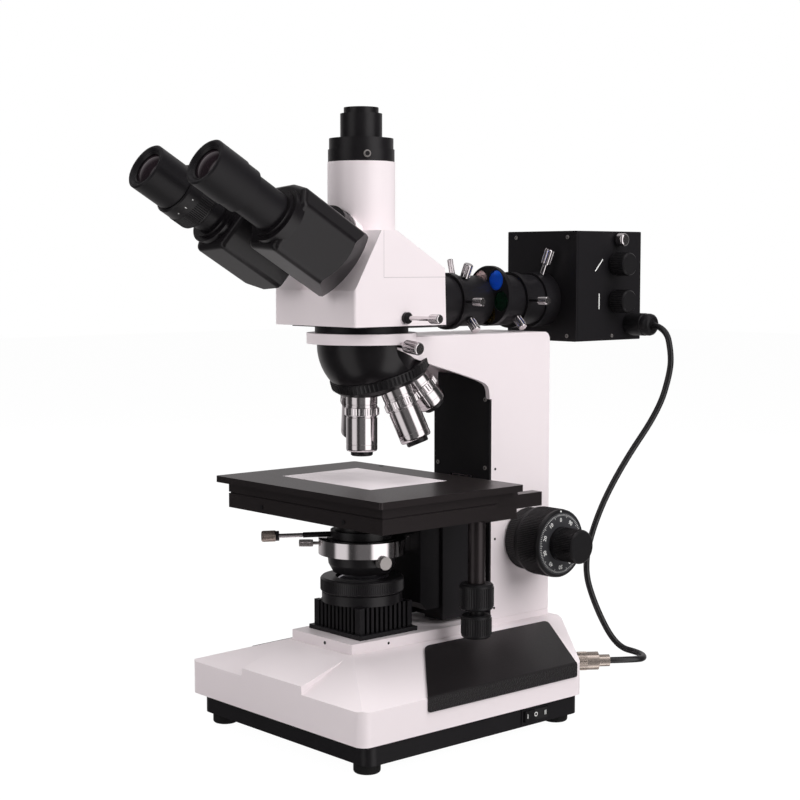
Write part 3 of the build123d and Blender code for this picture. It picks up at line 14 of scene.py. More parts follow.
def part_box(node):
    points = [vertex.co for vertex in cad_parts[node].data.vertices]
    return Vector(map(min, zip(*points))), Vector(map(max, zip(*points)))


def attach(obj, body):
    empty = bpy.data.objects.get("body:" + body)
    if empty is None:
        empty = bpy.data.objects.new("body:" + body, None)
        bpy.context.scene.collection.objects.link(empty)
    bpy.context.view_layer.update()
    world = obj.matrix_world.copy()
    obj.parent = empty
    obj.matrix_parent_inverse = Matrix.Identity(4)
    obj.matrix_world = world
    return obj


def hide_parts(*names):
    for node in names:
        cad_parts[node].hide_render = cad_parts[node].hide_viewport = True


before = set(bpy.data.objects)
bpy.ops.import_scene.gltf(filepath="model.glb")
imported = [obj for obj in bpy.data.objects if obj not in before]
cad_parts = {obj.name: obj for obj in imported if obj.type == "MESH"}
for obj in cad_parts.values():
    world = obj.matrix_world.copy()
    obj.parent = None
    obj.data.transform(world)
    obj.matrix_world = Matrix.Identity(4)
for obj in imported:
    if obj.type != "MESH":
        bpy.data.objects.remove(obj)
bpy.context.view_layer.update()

MM = 0.001
ring_low, ring_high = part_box("camera_adapter")
AXIS = Vector(((ring_low[0] + ring_high[0]) / 2, (ring_low[1] + ring_high[1]) / 2, 0.0))
print("nodes", len(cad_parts), "optical axis at", [round(v, 4) for v in AXIS])


def at(x, y, z):
    """Point given in millimetres from the optical axis and the bench."""
    return AXIS + Vector((x, y, z)) * MM


# places that several pieces share
APEX = at(0, 0, 316)                # where the lines of the turret's seats meet
SEAT = 66.0                         # from the apex to the turret's seats, in millimetres
BEAM_Z = 318.6                      # height of the illuminator's axis, in millimetres
FOCUS = at(0, 142, 132.7)           # centre of the focus shaft
DROP_KNOBS = at(66.5, 54, 0)        # axis of the two stage knobs
SPLITTER = at(0, 2.7, 308.7)        # line of the beam splitter rod
OUTLET_Y, OUTLET_Z = 256.0, 298.0   # cable outlet on the lamp house
IRIS_LEVER = at(0, 0, 148.15)       # where the condenser's iris lever starts
FILTER_WHEEL = at(12.3, 120, 322.8)
LID = at(0, -18.1, 337.7)           # corner of the thin joint in the head's sides

# %% [markdown]
# ## The camera
# The picture was taken with a long lens from the front right, a little above the stage. A long
# lens keeps the column and the eyepieces nearly parallel. The place, turn and focal length below
# were solved from the picture, so the render can be laid over it.

# %% Camera
DOWN, ROUND = 4.772, 48.485  # degrees below level and round from the front
lens = bpy.data.cameras.new("photo_camera")
lens.lens, lens.sensor_width = 73.93, 36.0
camera = bpy.data.objects.new("photo_camera", lens)
bpy.context.scene.collection.objects.link(camera)
camera.location = at(923.35, -779.64, 347.98)
camera.rotation_euler = (radians(90 - DOWN), 0.0, radians(ROUND))
bpy.context.scene.camera = camera
bpy.context.scene.view_settings.view_transform = "Standard"
print("camera at", [round(v, 3) for v in camera.location])

# %% [markdown]
# ## The lamp cord
# A 5 mm cord leaves the lamp house, falls behind the column and comes back round into its plug on
# the base. A real cord is one smooth bend after another, so it is a NURBS curve through a few
# control points, with a round bevel, and not a chain of straight runs.

# %% Lamp cord
CORD_RADIUS = 2.5 * MM
OUTLET_END = 63.0
CORD_POINTS = ((OUTLET_END, OUTLET_Y, OUTLET_Z), (78.0, 254.0, 295.5), (84.0, 253.0, 276.0),
               (78.0, 259.5, 260.0), (72.5, 253.0, 229.8), (60.0, 223.6, 187.0), (51.0, 203.8, 147.6),
               (47.0, 192.0, 106.5), (55.5, 197.5, 73.4), (68.0, 209.0, 41.5), (88.0, 215.0, 39.0),
               (102.3, 204.0, 39.0))
PORT_AXIS = Vector((42.0, 59.4, 0.0)).normalized()


def plug_tip():
    """Where the cord meets its plug, from the plug's own box."""
    low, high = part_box("lamp_plug")
    tail_radius = 4.6 * MM
    side = Vector((PORT_AXIS.y, PORT_AXIS.x, 0)) * tail_radius
    return Vector((high[0] - side.x, high[1] - side.y, (low[2] + high[2]) / 2))


tip = plug_tip()
STRAIGHT = 17 * MM  # the cord leaves its plug along the plug's axis
route = [at(*p) for p in CORD_POINTS] + [tip + PORT_AXIS * STRAIGHT, tip]
line = bpy.data.curves.new("cord_line", "CURVE")
line.dimensions = "3D"
spline = line.splines.new("NURBS")
spline.points.add(len(route) - 1)
for point, place in zip(spline.points, route):
    point.co = (*place, 1.0)
spline.order_u = 3
spline.use_endpoint_u = True
spline.resolution_u = 8
line.bevel_depth, line.bevel_resolution = CORD_RADIUS, 4
line.use_fill_caps = True
cord = bpy.data.objects.new("lamp_cord_sheath", line)
bpy.context.scene.collection.objects.link(cord)
print("cord control points", len(route))

# %% [markdown]
# ## Finishes
# Every finish is a small tree of shader nodes on Object coordinates, so grain and wear stay put
# on the metal when a slide moves. Enamel is smooth with the faintest orange peel, anodised parts
# have a fine tight grain, chrome is almost a mirror with hair scratches. Numbers that hold all
# over a finish stay on the shader's own sockets.

# %% Helpers: new nodes and their settings, a math node, and a finish with grain
def make(tree, *kinds):
    """New nodes: shader nodes by their short name, geometry nodes by their full name."""
    return [tree.nodes.new(kind if "Node" in kind else "ShaderNode" + kind) for kind in kinds]


def fill(node, values):
    """Set inputs of a node by name or number."""
    for key, value in values.items():
        node.inputs[key].default_value = value


def calc(tree, operation, a, b):
    """Math node of any tree on sockets or numbers."""
    node = tree.nodes.new("ShaderNodeMath")
    node.operation = operation
    for slot, value in zip(node.inputs, (a, b)):
        if isinstance(value, (int, float)):
            slot.default_value = value
        else:
            tree.links.new(value, slot)
    return node.outputs[0]


def finish(name, colour, rough, metal=0.0, coat=0.0, grain=900.0, depth=0.05, uneven=0.06, spread=0.08,
           stretch=(1, 1, 1), coat_rough=0.08, specular=0.5):
    """Principled finish: noise varies its colour and roughness a little and bumps it."""
    m = bpy.data.materials.new(name)
    m.use_nodes = True
    tree, link = m.node_tree, m.node_tree.links.new
    shader = tree.nodes["Principled BSDF"]
    fill(shader, {"Metallic": metal, "Coat Weight": coat, "Coat Roughness": coat_rough,
                  "Specular IOR Level": specular})
    where, turn, broad, fine = make(tree, "TexCoord", "Mapping", "TexNoise", "TexNoise")
    fill(turn, {"Scale": stretch})
    link(where.outputs["Object"], turn.inputs["Vector"])
    for tex, scale, detail in ((broad, 18.0, 3.0), (fine, grain, 4.0)):
        fill(tex, {"Scale": scale, "Detail": detail})
        link(turn.outputs["Vector"], tex.inputs["Vector"])
    tint, shade, gloss, bump = make(tree, "MapRange", "VectorMath", "MapRange", "Bump")
    fill(tint, {"To Min": 1 - uneven, "To Max": 1 + uneven})
    link(broad.outputs["Fac"], tint.inputs["Value"])
    shade.operation = "SCALE"
    fill(shade, {0: colour})
    link(tint.outputs["Result"], shade.inputs["Scale"])
    link(shade.outputs["Vector"], shader.inputs["Base Color"])
    fill(gloss, {"To Min": max(rough - spread, 0.02), "To Max": rough + spread})
    link(fine.outputs["Fac"], gloss.inputs["Value"])
    link(gloss.outputs["Result"], shader.inputs["Roughness"])
    fill(bump, {"Strength": depth, "Distance": 0.2 * MM})
    link(fine.outputs["Fac"], bump.inputs["Height"])
    link(bump.outputs["Normal"], shader.inputs["Normal"])
    return m


print("one function makes every finish")

# %% The finishes
ENAMEL = finish("warm_white_enamel", (0.87, 0.788, 0.81), 0.38, coat=0.25, grain=420, depth=0.025,
                uneven=0.012)
SATIN = finish("black_satin_paint", (0.0085, 0.0078, 0.009), 0.4, grain=1500, depth=0.06, uneven=0.15,
               specular=0.25)
ANODISED = finish("black_anodised", (0.009, 0.0082, 0.0092), 0.34, grain=2200, depth=0.05, uneven=0.12,
                  specular=0.3)
GLOSSY = finish("black_glossy_enamel", (0.0075, 0.0065, 0.0075), 0.3, coat=0.1, grain=260, depth=0.008,
                uneven=0.08, spread=0.03, specular=0.3)
STAGEFACE = finish("stage_hard_anodised", (0.0125, 0.0102, 0.0105), 0.32, grain=1600, depth=0.03,
                   specular=0.4)
fill(STAGEFACE.node_tree.nodes["Principled BSDF"], {"Specular Tint": (1, 0.9, 0.92, 1)})
DIALFACE = finish("dial_grey_anodised", (0.055, 0.055, 0.06), 0.4, metal=0.4, grain=1800, depth=0.04)
PLASTIC = finish("black_moulded_plastic", (0.0085, 0.008, 0.0088), 0.4, grain=1300, depth=0.1, uneven=0.1,
                 specular=0.28)
PAD = finish("black_hand_rest", (0.0095, 0.0082, 0.0088), 0.4, coat=0.05, grain=900, depth=0.06, uneven=0.12,
             specular=0.38)
RUBBER = finish("black_rubber", (0.009, 0.0088, 0.009), 0.75, grain=900, depth=0.3, uneven=0.1, specular=0.25)
SHEATH = finish("cord_sheath", (0.01, 0.0098, 0.0105), 0.3, grain=300, depth=0.01, uneven=0.05, spread=0.03)
CHROME = finish("bright_chrome", (0.72, 0.69, 0.7), 0.12, metal=1.0, grain=1400, depth=0.015, spread=0.03)
PLATEGREY = finish("ground_grey_plate", (0.85, 0.775, 0.8), 0.34, grain=700, depth=0.03, uneven=0.02)
WHITEMARK = finish("white_filling", (0.82, 0.82, 0.8), 0.5, grain=900, depth=0.02)
STEEL = finish("screw_steel", (0.33, 0.31, 0.3), 0.32, metal=0.55, grain=1500, depth=0.03)
# black for dark joint lines, and painted shade where a hole or recess is drawn as a flat disc
JOINT_AND_HOLE_SHADE = finish("black_joint_and_painted_hole_shade", (0.004, 0.004, 0.0045), 0.5, grain=900, depth=0.02, specular=0.2)
NICKEL = finish("connector_nickel", (0.62, 0.54, 0.48), 0.24, metal=1.0, grain=900, depth=0.02)
print("finishes", len([m for m in bpy.data.materials if m.use_nodes]))

# %% [markdown]
# The cover plate let into the head shows as a thin dark line. The shader finds the line by its
# place: comparisons give 1 on the line and 0 beside it, and that darkens the enamel.

# %% The joint in the head
def seamed(name, side_y, level):
    """Enamel with the thin dark joint of the cover plate let into the head's sides."""
    m = ENAMEL.copy()
    m.name = name
    tree, link = m.node_tree, m.node_tree.links.new
    where, split, dim = make(tree, "TexCoord", "SeparateXYZ", "VectorMath")
    link(where.outputs["Object"], split.inputs[0])
    half_width, darker = 0.22 * MM, 0.35

    def close(socket, value):
        away = calc(tree, "ABSOLUTE", calc(tree, "SUBTRACT", socket, value), 0.0)
        return calc(tree, "LESS_THAN", away, half_width)

    y, z = split.outputs["Y"], split.outputs["Z"]
    upright = calc(tree, "MULTIPLY", close(y, side_y), calc(tree, "GREATER_THAN", z, level))
    flat = calc(tree, "MULTIPLY", close(z, level), calc(tree, "GREATER_THAN", y, side_y))
    seam = calc(tree, "MAXIMUM", upright, flat)
    keep = calc(tree, "SUBTRACT", 1.0, calc(tree, "MULTIPLY", seam, darker))
    shader = tree.nodes["Principled BSDF"]
    before = shader.inputs["Base Color"].links[0].from_socket
    dim.operation = "SCALE"
    link(before, dim.inputs[0])
    link(keep, dim.inputs["Scale"])
    link(dim.outputs["Vector"], shader.inputs["Base Color"])
    return m


HEADPAINT = seamed("head_enamel_with_joint", LID.y, LID.z)
print("joint at y", round(LID.y, 4), "and z", round(LID.z, 4))

# %% [markdown]
# ## Glass
# A coated lens is nearly black when there is a dark tube behind it, with a tinted reflection from
# its coating. Here the lenses let no light through, and that near black is painted into their
# colour as shade of the tube. A coloured filter is thin stained glass. Both are one shader each,
# with the colour on the shader's own socket.

# %% Lenses and filters
def glass(name, colour, rough=0.02, through=0.9, coat_tint=(1, 1, 1, 1)):
    """Glass with a coating and a little dust."""
    m = bpy.data.materials.new(name)
    m.use_nodes = True
    tree, link = m.node_tree, m.node_tree.links.new
    shader = tree.nodes["Principled BSDF"]
    fill(shader, {"Base Color": (*colour, 1), "Transmission Weight": through, "IOR": 1.5, "Coat Weight": 0.6,
                  "Coat Tint": coat_tint})
    where, dust, film = make(tree, "TexCoord", "TexNoise", "MapRange")
    fill(dust, {"Scale": 260.0})
    link(where.outputs["Object"], dust.inputs["Vector"])
    fill(film, {"To Min": rough, "To Max": rough + 0.06})
    link(dust.outputs["Fac"], film.inputs["Value"])
    link(film.outputs["Result"], shader.inputs["Roughness"])
    return m


# no light through these lenses: their near-black colour is painted shade of the dark tube behind
LENS = glass("coated_lens", (0.05, 0.048, 0.05), through=0.0, coat_tint=(0.9, 0.85, 1, 1))
EYELENS = glass("eyepiece_lens", (0.014, 0.0095, 0.012), through=0.0, coat_tint=(0.85, 0.72, 0.8, 1))


def filter_glass():
    """One glass whose colour follows the window's place round the wheel's centre."""
    m = glass("filter_glass", (0.1, 0.1, 0.1), through=0.45)
    tree, link = m.node_tree, m.node_tree.links.new
    where, split, ramp, share = make(tree, "TexCoord", "SeparateXYZ", "ValToRGB", "MapRange")
    link(where.outputs["Object"], split.inputs[0])
    right = calc(tree, "SUBTRACT", split.outputs["X"], FILTER_WHEEL.x)
    up = calc(tree, "SUBTRACT", split.outputs["Z"], FILTER_WHEEL.z)
    fill(share, {"From Min": -pi, "From Max": pi})
    link(calc(tree, "ARCTAN2", up, right), share.inputs["Value"])
    ramp.color_ramp.interpolation = "CONSTANT"
    amber, green = (0.05, 0.034, 0.006), (0.004, 0.028, 0.012)
    blue, clear = (0.01, 0.16, 1.0), (0.75, 0.55, 0.55)
    stops = ((0.0, amber), (0.353, green), (0.553, blue), (0.753, clear))
    for i, (place, colour) in enumerate(stops):
        e = ramp.color_ramp.elements[i] if i < 2 else ramp.color_ramp.elements.new(place)
        e.position, e.color = place, (*colour, 1)
    link(share.outputs["Result"], ramp.inputs["Fac"])
    link(ramp.outputs["Color"], tree.nodes["Principled BSDF"].inputs["Base Color"])
    return m


FILTERS = filter_glass()
print("glass", [m.name for m in (LENS, EYELENS, FILTERS)])

# %% [markdown]
# ## Finishes on the CAD nodes
# The castings are enamelled white, almost everything else is black: matt moulded knobs, satin
# tubes, glossy arms. A node keeps its own mesh and only gets a material.

# %% Give each node its finish
WORN = {
    ENAMEL: "base_cover column photo_tube",
    HEADPAINT: "head_housing",
    SATIN: "base_plate column_panel head_ring focus_carriage stage_bracket mains_inlet illuminator_tube "
           "lamp_box filter_wheel field_lamp_housing stage_base eyepiece_right eyepiece_left",
    ANODISED: "field_lens_mount field_iris_ring condenser_body condenser_iris_lever photo_port "
              "camera_adapter nosepiece_turret aperture_lever field_lever diopter_ring",
    GLOSSY: "prism_arm_right prism_arm_left nosepiece_mount",
    STAGEFACE: "stage_top stage_middle",
    PLASTIC: "switch_rocker brightness_wheel coarse_knobs fine_knobs tension_ring stage_y_knob stage_x_knob "
             "lamp_knob_upper lamp_knob_lower cable_outlet",
    PAD: "hand_rests",
    RUBBER: "rubber_feet",
    CHROME: "condenser_carrier objective_5x objective_10x objective_20x objective_50x thumb_screws "
            "splitter_rod head_clamp_screw lamp_clamp_screw",
    STEEL: "condenser_screws",
    NICKEL: "lamp_socket lamp_plug",
    PLATEGREY: "specimen_plate",
    LENS: "field_lens",
    FILTERS: "filter_glasses",
}


def wear(node, material):
    """Put one finish on a CAD node."""
    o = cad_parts[node]
    o.data.materials.clear()
    o.data.materials.append(material)


for material, names in WORN.items():
    for node in names.split():
        wear(node, material)
print("nodes with a finish", sum(len(n.split()) for n in WORN.values()))

# %% [markdown]
# ## Turned pieces
# A lens or a bushing is a lathe job: a profile of radii and heights swept once round an axis. The
# helper closes the ends at the axis, so the mesh is watertight, and puts it straight into place.

# %% Helpers: place a mesh, and turn a profile
def basis(origin, direction, up=None):
    """Matrix whose Z runs along direction, at origin, the turn about it set by up."""
    z = Vector(direction).normalized()
    u = Vector(up) if up else (Vector((0, 0, 1)) if abs(z.z) < 0.9 else Vector((0, 1, 0)))
    x = u.cross(z).normalized()
    y = z.cross(x)
    return Matrix(((x.x, y.x, z.x, origin[0]), (x.y, y.y, z.y, origin[1]), (x.z, y.z, z.z, origin[2]),
                   (0, 0, 0, 1)))


def add(name, mesh, body, material, place=None, smooth=30):
    """Object at the origin, its place in its mesh, riding on a CAD body."""
    if place:
        mesh.transform(place)
    mesh.materials.clear()
    mesh.materials.append(material)
    mesh.validate()
    for poly in mesh.polygons:
        poly.use_smooth = True
    mesh.set_sharp_from_angle(angle=radians(smooth))
    o = bpy.data.objects.new(name, mesh)
    bpy.context.scene.collection.objects.link(o)
    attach(o, body)
    return o


def turned(profile, steps=64):
    """Mesh of a (radius, height) profile in millimetres turned about Z."""
    bm = bmesh.new()
    rows = []
    around = [(cos(2 * pi * i / steps), sin(2 * pi * i / steps)) for i in range(steps)]
    for r, h in profile:
        if r == 0:
            rows.append([bm.verts.new((0, 0, h * MM))])
        else:
            rows.append([bm.verts.new((r * MM * c, r * MM * s, h * MM)) for c, s in around])
    for low, high in zip(rows, rows[1:]):
        for i in range(steps):
            j = (i + 1) % steps
            quad = [low[i % len(low)], low[j % len(low)], high[j % len(high)], high[i % len(high)]]
            quad = list(dict.fromkeys(quad))
            if len(quad) > 2:
                bm.faces.new(quad)
    bmesh.ops.remove_doubles(bm, verts=bm.verts, dist=0.001 * MM)
    bmesh.ops.recalc_face_normals(bm, faces=bm.faces)
    mesh = bpy.data.meshes.new("turned")
    bm.to_mesh(mesh)
    bm.free()
    return mesh


def lathe(name, profile, body, material, origin, direction, steps=64, smooth=30):
    """Turned piece on a line through origin."""
    return add(name, turned(profile, steps), body, material, basis(origin, direction), smooth)


X, Y, Z = Vector((1, 0, 0)), Vector((0, 1, 0)), Vector((0, 0, 1))
# line of sight and slope of the binocular, and the axis of the turret
TILT, CONE = radians(20), radians(20)
SIGHT = Vector((0, -cos(radians(30)), sin(radians(30))))
SLOPE = Vector((0, sin(radians(30)), cos(radians(30))))
TURRET = Vector((0, sin(TILT), -cos(TILT)))
EYE_HALF, EYE_UP = 35, 292.7 - 15.9


def eye(side):
    """Foot of the line of sight of one eyepiece, from which distances along SIGHT count."""
    return at(0, 0, 0) + (X * EYE_HALF * side + SLOPE * EYE_UP) * MM


def seat(angle):
    """Direction of a turret seat."""
    t, s, f = TILT, CONE, radians(angle)
    return Vector((sin(s) * sin(f), cos(s) * sin(t) - sin(s) * cos(f) * cos(t),
                   -cos(s) * cos(t) - sin(s) * cos(f) * sin(t)))


print("helpers ready")

# %% [markdown]
# ## Knurls
# Knurling is a row of small ridges rolled into a knob. Geometry Nodes suit it: points on a
# circle, one thin bar on each, turned edge outwards. The knob's radius, the ridge's size and
# their count are inputs, so one tree serves every grip on the instrument.

# %% The knurl tree
def socket_id(tree, name):
    """Key by which a modifier stores one input of a tree."""
    return next(i.identifier for i in tree.interface.items_tree
                if i.item_type == "SOCKET" and i.in_out == "INPUT" and i.name == name)


def new_tree(name, inputs):
    """Empty tree with these inputs."""
    tree = bpy.data.node_groups.new(name, "GeometryNodeTree")
    tree.interface.new_socket("Geometry", in_out="INPUT", socket_type="NodeSocketGeometry")
    for label, kind in inputs:
        tree.interface.new_socket(label, in_out="INPUT", socket_type="NodeSocket" + kind)
    tree.interface.new_socket("Geometry", in_out="OUTPUT", socket_type="NodeSocketGeometry")
    return tree, tree.nodes.new("NodeGroupInput"), tree.nodes.new("NodeGroupOutput")


def point_turns(tree, given):
    """Number of each point, and its angle round a full turn."""
    index = make(tree, "GeometryNodeInputIndex")[0].outputs[0]
    return index, calc(tree, "MULTIPLY", calc(tree, "DIVIDE", index, given.outputs["Count"]), 2 * pi)


def bars_round(tree, given, out, bar, angle, radius, scale=None):
    """One painted copy of bar on each point of a circle, turned outwards."""
    link = tree.links.new
    points, spot, spin = make(tree, "GeometryNodePoints", "CombineXYZ", "CombineXYZ")
    each, real, paint = make(tree, "GeometryNodeInstanceOnPoints", "GeometryNodeRealizeInstances",
                             "GeometryNodeSetMaterial")
    link(given.outputs["Count"], points.inputs["Count"])
    link(calc(tree, "MULTIPLY", calc(tree, "COSINE", angle, 0), radius), spot.inputs["X"])
    link(calc(tree, "MULTIPLY", calc(tree, "SINE", angle, 0), radius), spot.inputs["Y"])
    link(spot.outputs[0], points.inputs["Position"])
    link(angle, spin.inputs["Z"])
    link(points.outputs[0], each.inputs["Points"])
    link(bar.outputs["Mesh"], each.inputs["Instance"])
    link(spin.outputs[0], each.inputs["Rotation"])
    if scale:
        link(scale.outputs[0], each.inputs["Scale"])
    link(each.outputs[0], real.inputs[0])
    link(real.outputs[0], paint.inputs["Geometry"])
    link(given.outputs["Material"], paint.inputs["Material"])
    link(paint.outputs[0], out.inputs[0])


def knurl_tree():
    """Ring of four-sided bars, one edge outwards."""
    tree, given, out = new_tree("knurl", [("Count", "Int"), ("Radius", "Float"), ("Tooth", "Float"),
                                          ("Length", "Float"), ("Material", "Material")])
    bar = make(tree, "GeometryNodeMeshCylinder")[0]
    fill(bar, {"Vertices": 4})
    tree.links.new(calc(tree, "MULTIPLY", given.outputs["Tooth"], 0.7), bar.inputs["Radius"])
    tree.links.new(given.outputs["Length"], bar.inputs["Depth"])
    angle = point_turns(tree, given)[1]
    bars_round(tree, given, out, bar, angle, given.outputs["Radius"])
    return tree


def baked(name, tree, source=None, **values):
    """Mesh that a Geometry Nodes tree makes with these inputs."""
    o = bpy.data.objects.new(name, source or bpy.data.meshes.new(name))
    bpy.context.scene.collection.objects.link(o)
    mod = o.modifiers.new("tree", "NODES")
    mod.node_group = tree
    for label, value in values.items():
        mod[socket_id(tree, label)] = value
    mesh = bpy.data.meshes.new_from_object(o.evaluated_get(bpy.context.evaluated_depsgraph_get()))
    o.modifiers.clear()
    bpy.data.objects.remove(o)
    return mesh


KNURL = knurl_tree()
print("knurl tree nodes", len(KNURL.nodes))

# %% [markdown]
# A grip says where its knob's axis starts and runs, then the radius, the start and end along the
# axis, the number of ridges and their size.

# %% Large knurls
def grip(name, body, origin, direction, radius, start, end, count, tooth, material):
    """Knurled band on a round piece, between two distances along its axis, in millimetres."""
    mesh = baked(name, KNURL, Count=count, Radius=(radius - tooth * 0.35) * MM, Tooth=tooth * MM,
                 Length=(end - start) * MM, Material=material)
    place = basis(Vector(origin) + Vector(direction).normalized() * (start + end) / 2 * MM, direction)
    return add(name, mesh, body, material, place, smooth=20)


for side, hand in ((1, "right"), (-1, "left")):
    grip(f"coarse_knurl_{hand}", "coarse_focus", FOCUS, X * side, 26.2, 47.5, 65.5, 120, 1.0, PLASTIC)
    grip(f"fine_knurl_{hand}", "fine_focus", FOCUS, X * side, 12.8, 73.0, 89.5, 64, 0.9, PLASTIC)
grip("tension_knurl", "tension", FOCUS, X, 24.0, 33.5, 41.0, 100, 1.0, PLASTIC)
grip("field_iris_knurl", "field_iris", at(0, 0, 0), Z, 30.8, 106.8, 114.8, 130, 1.0, ANODISED)
grip("turret_knurl", "turret", APEX, TURRET, 37.2, 48.8, 54.4, 72, 2.4, ANODISED)
# name, seat round the turret in degrees and length past the seat in millimetres
OBJECTIVES = (("5x", 144, 30), ("10x", 72, 43), ("20x", 0, 44), ("50x", 288, 44))
for node, angle, length in OBJECTIVES:
    grip(f"objective_knurl_{node}", "turret", APEX, seat(angle), 12.5, 74.6, 79.4, 36, 1.4, CHROME)
grip("y_knob_knurl", "y_knob", DROP_KNOBS, Z, 12.5, 96.5, 110.5, 44, 1.3, PLASTIC)
grip("x_knob_knurl", "x_knob", DROP_KNOBS, Z, 11.0, 75.5, 87.5, 40, 1.3, PLASTIC)
grip("lamp_upper_knurl", "lamp_centring_upper", at(0, 237.5, 347), X, 9.1, 40.5, 52.5, 36, 1.0, PLASTIC)
grip("lamp_lower_knurl", "lamp_centring_lower", at(0, 237.5, 317), X, 9.1, 40.5, 52.5, 36, 1.0, PLASTIC)
grip("diopter_knurl", "diopter", eye(-1), SIGHT, 19.0, 298.0, 309.0, 80, 1.0, ANODISED)
clamp = Vector((cos(radians(6)), 0, -sin(radians(6))))
grip("head_clamp_knurl", "head_clamp", at(0, 4, 293.1), clamp, 4.5, 46.2, 58.4, 30, 0.6, CHROME)
grip("splitter_knurl", "splitter", SPLITTER, X, 3.3, 73.5, 80.5, 22, 0.5, CHROME)
grip("plug_knurl", "stand", at(75, 150, 40.5), PORT_AXIS, 7.0, 4.0, 10.5, 40, 0.7, NICKEL)
print("large grips done")

# %% [markdown]
# ## Thumb screws and levers
# The bright thumb screws round the illuminator and on the condenser are the same turned part in
# several sizes, each with a fine straight knurl on its head. The knurl tree makes those too.

# %% Small knurls
def spoke(angle):
    """Direction square to the illuminator's axis, angle degrees from upright."""
    return Vector((sin(radians(angle)), 0, cos(radians(angle))))


# angle, place along the illuminator, end of the head, its radius and its length
THUMB_SCREWS = ((-13, 96, 33, 2.2, 12), (24, 97, 31, 3.6, 11), (136, 97, 31, 3.6, 11), (256, 97, 31, 3.6, 11),
                (133, 147, 31, 3.4, 11))
for i, (angle, y, end, r, length) in enumerate(THUMB_SCREWS):
    grip(f"thumb_knurl_{i}", "stand", at(0, y, BEAM_Z), spoke(angle), r, end - length + 1, end - 1,
         20 if r < 3 else 26, 0.45, CHROME)
grip("lamp_clamp_knurl", "lamp_clamp", at(0, 182.5, BEAM_Z), spoke(23), 3.6, 32.0, 43.0, 26, 0.5, CHROME)
APERTURE_Y, ILLUMINATOR_IRIS_Y = 86.5, 155.0
grip("aperture_knurl", "aperture_iris", at(0, APERTURE_Y, BEAM_Z), X, 3.0, 31.0, 38.0, 22, 0.45, CHROME)
grip("illuminator_knurl", "illuminator_iris", at(0, ILLUMINATOR_IRIS_Y, BEAM_Z), X, 3.0, 33.4, 40.4, 22, 0.45,
     CHROME)
RIGHT = Vector((-0.663, -0.749, 0))
LEVER_LINE = RIGHT + Vector((0, 0, -0.0368))
grip("condenser_lever_knurl", "condenser_iris", IRIS_LEVER, LEVER_LINE, 4.0, 64.8, 73.8, 30, 0.45, NICKEL)
grip("condenser_centring_knurl", "fine_stage", at(0, 0, 140.5), RIGHT, 2.6, 37.5, 45.8, 20, 0.4, CHROME)
grip("condenser_clamp_knurl", "fine_stage", at(0, 0, 130.6), Vector((0.981, -0.196, 0)), 4.75, 29.8, 35.2, 30,
     0.6, CHROME)
print("small grips done")

# %% [markdown]
# ## Hand rests
# The hand rests are soft black pads folded over the rim of the base, with round corners and a
# leather-like strip below the fold. The solid has the same pads with sharp corners. A copy of its
# mesh is merged into clean faces, and bevels round the corners and the fold, so the pads stay
# exactly where they lie on the cover.

# %% Round the hand rests
RIM_LEVEL = 49.0 * MM
CORNER, LOW_CORNER, FOLD = 5.0, 1.5, 1.6  # radii, in millimetres


def grained(base, name):
    """The pad's finish with a pebbled grain below the fold."""
    m = base.copy()
    m.name = name
    tree, link = m.node_tree, m.node_tree.links.new
    old = next(n for n in tree.nodes if n.type == "BUMP")
    where, split, below = make(tree, "TexCoord", "SeparateXYZ", "MapRange")
    pebble, bump = make(tree, "TexVoronoi", "Bump")
    link(where.outputs["Object"], split.inputs[0])
    link(where.outputs["Object"], pebble.inputs["Vector"])
    link(split.outputs["Z"], below.inputs["Value"])
    fill(below, {"From Min": RIM_LEVEL, "From Max": RIM_LEVEL - 2 * MM})
    fill(pebble, {"Scale": 900.0})
    grain = calc(tree, "MULTIPLY", below.outputs["Result"], pebble.outputs["Distance"])
    fill(bump, {"Strength": 1.0, "Distance": 0.6 * MM})
    link(grain, bump.inputs["Height"])
    link(old.outputs["Normal"], bump.inputs["Normal"])
    link(bump.outputs["Normal"], tree.nodes["Principled BSDF"].inputs["Normal"])
    return m


def bevelled(bm, edges, width, steps):
    """Round these edges, width in millimetres."""
    bmesh.ops.bevel(bm, geom=edges, offset=width * MM, segments=steps, profile=0.5, affect="EDGES",
                    clamp_overlap=True)


def rounded_pads():
    """Copy of the hand rests with round corners and a soft fold."""
    bm = bmesh.new()
    bm.from_mesh(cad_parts["hand_rests"].data)
    bmesh.ops.remove_doubles(bm, verts=bm.verts, dist=0.01 * MM)
    bmesh.ops.dissolve_limit(bm, angle_limit=radians(2), verts=bm.verts, edges=bm.edges)
    # a corner is an edge across the pad's thickness, the fold is a long edge at the rim
    thickness, upper, lower, long_edge, near = 2.6 * MM, 60 * MM, 40 * MM, 100 * MM, 4 * MM
    short = [e for e in bm.edges if e.calc_length() < thickness]
    top = [e for e in short if (e.verts[0].co.z + e.verts[1].co.z) / 2 > upper]
    bevelled(bm, top, CORNER, 6)
    low = [e for e in bm.edges if e.calc_length() < thickness and max(v.co.z for v in e.verts) < lower]
    bevelled(bm, low, LOW_CORNER, 4)
    fold = [e for e in bm.edges if e.calc_length() > long_edge and e.is_convex
            and all(abs(v.co.z - RIM_LEVEL) < near for v in e.verts)]
    bevelled(bm, fold, FOLD, 4)
    rough_edges = len([e for e in bm.edges if not e.is_manifold])
    print("pads: corners", len(top), "low corners", len(low), "folds", len(fold), "open edges", rough_edges)
    mesh = bpy.data.meshes.new("hand_rest_pads")
    bm.to_mesh(mesh)
    bm.free()
    return mesh


pads = add("hand_rest_pads", rounded_pads(), "stand", grained(PAD, "black_hand_rest_grained"), smooth=35)
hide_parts("hand_rests")
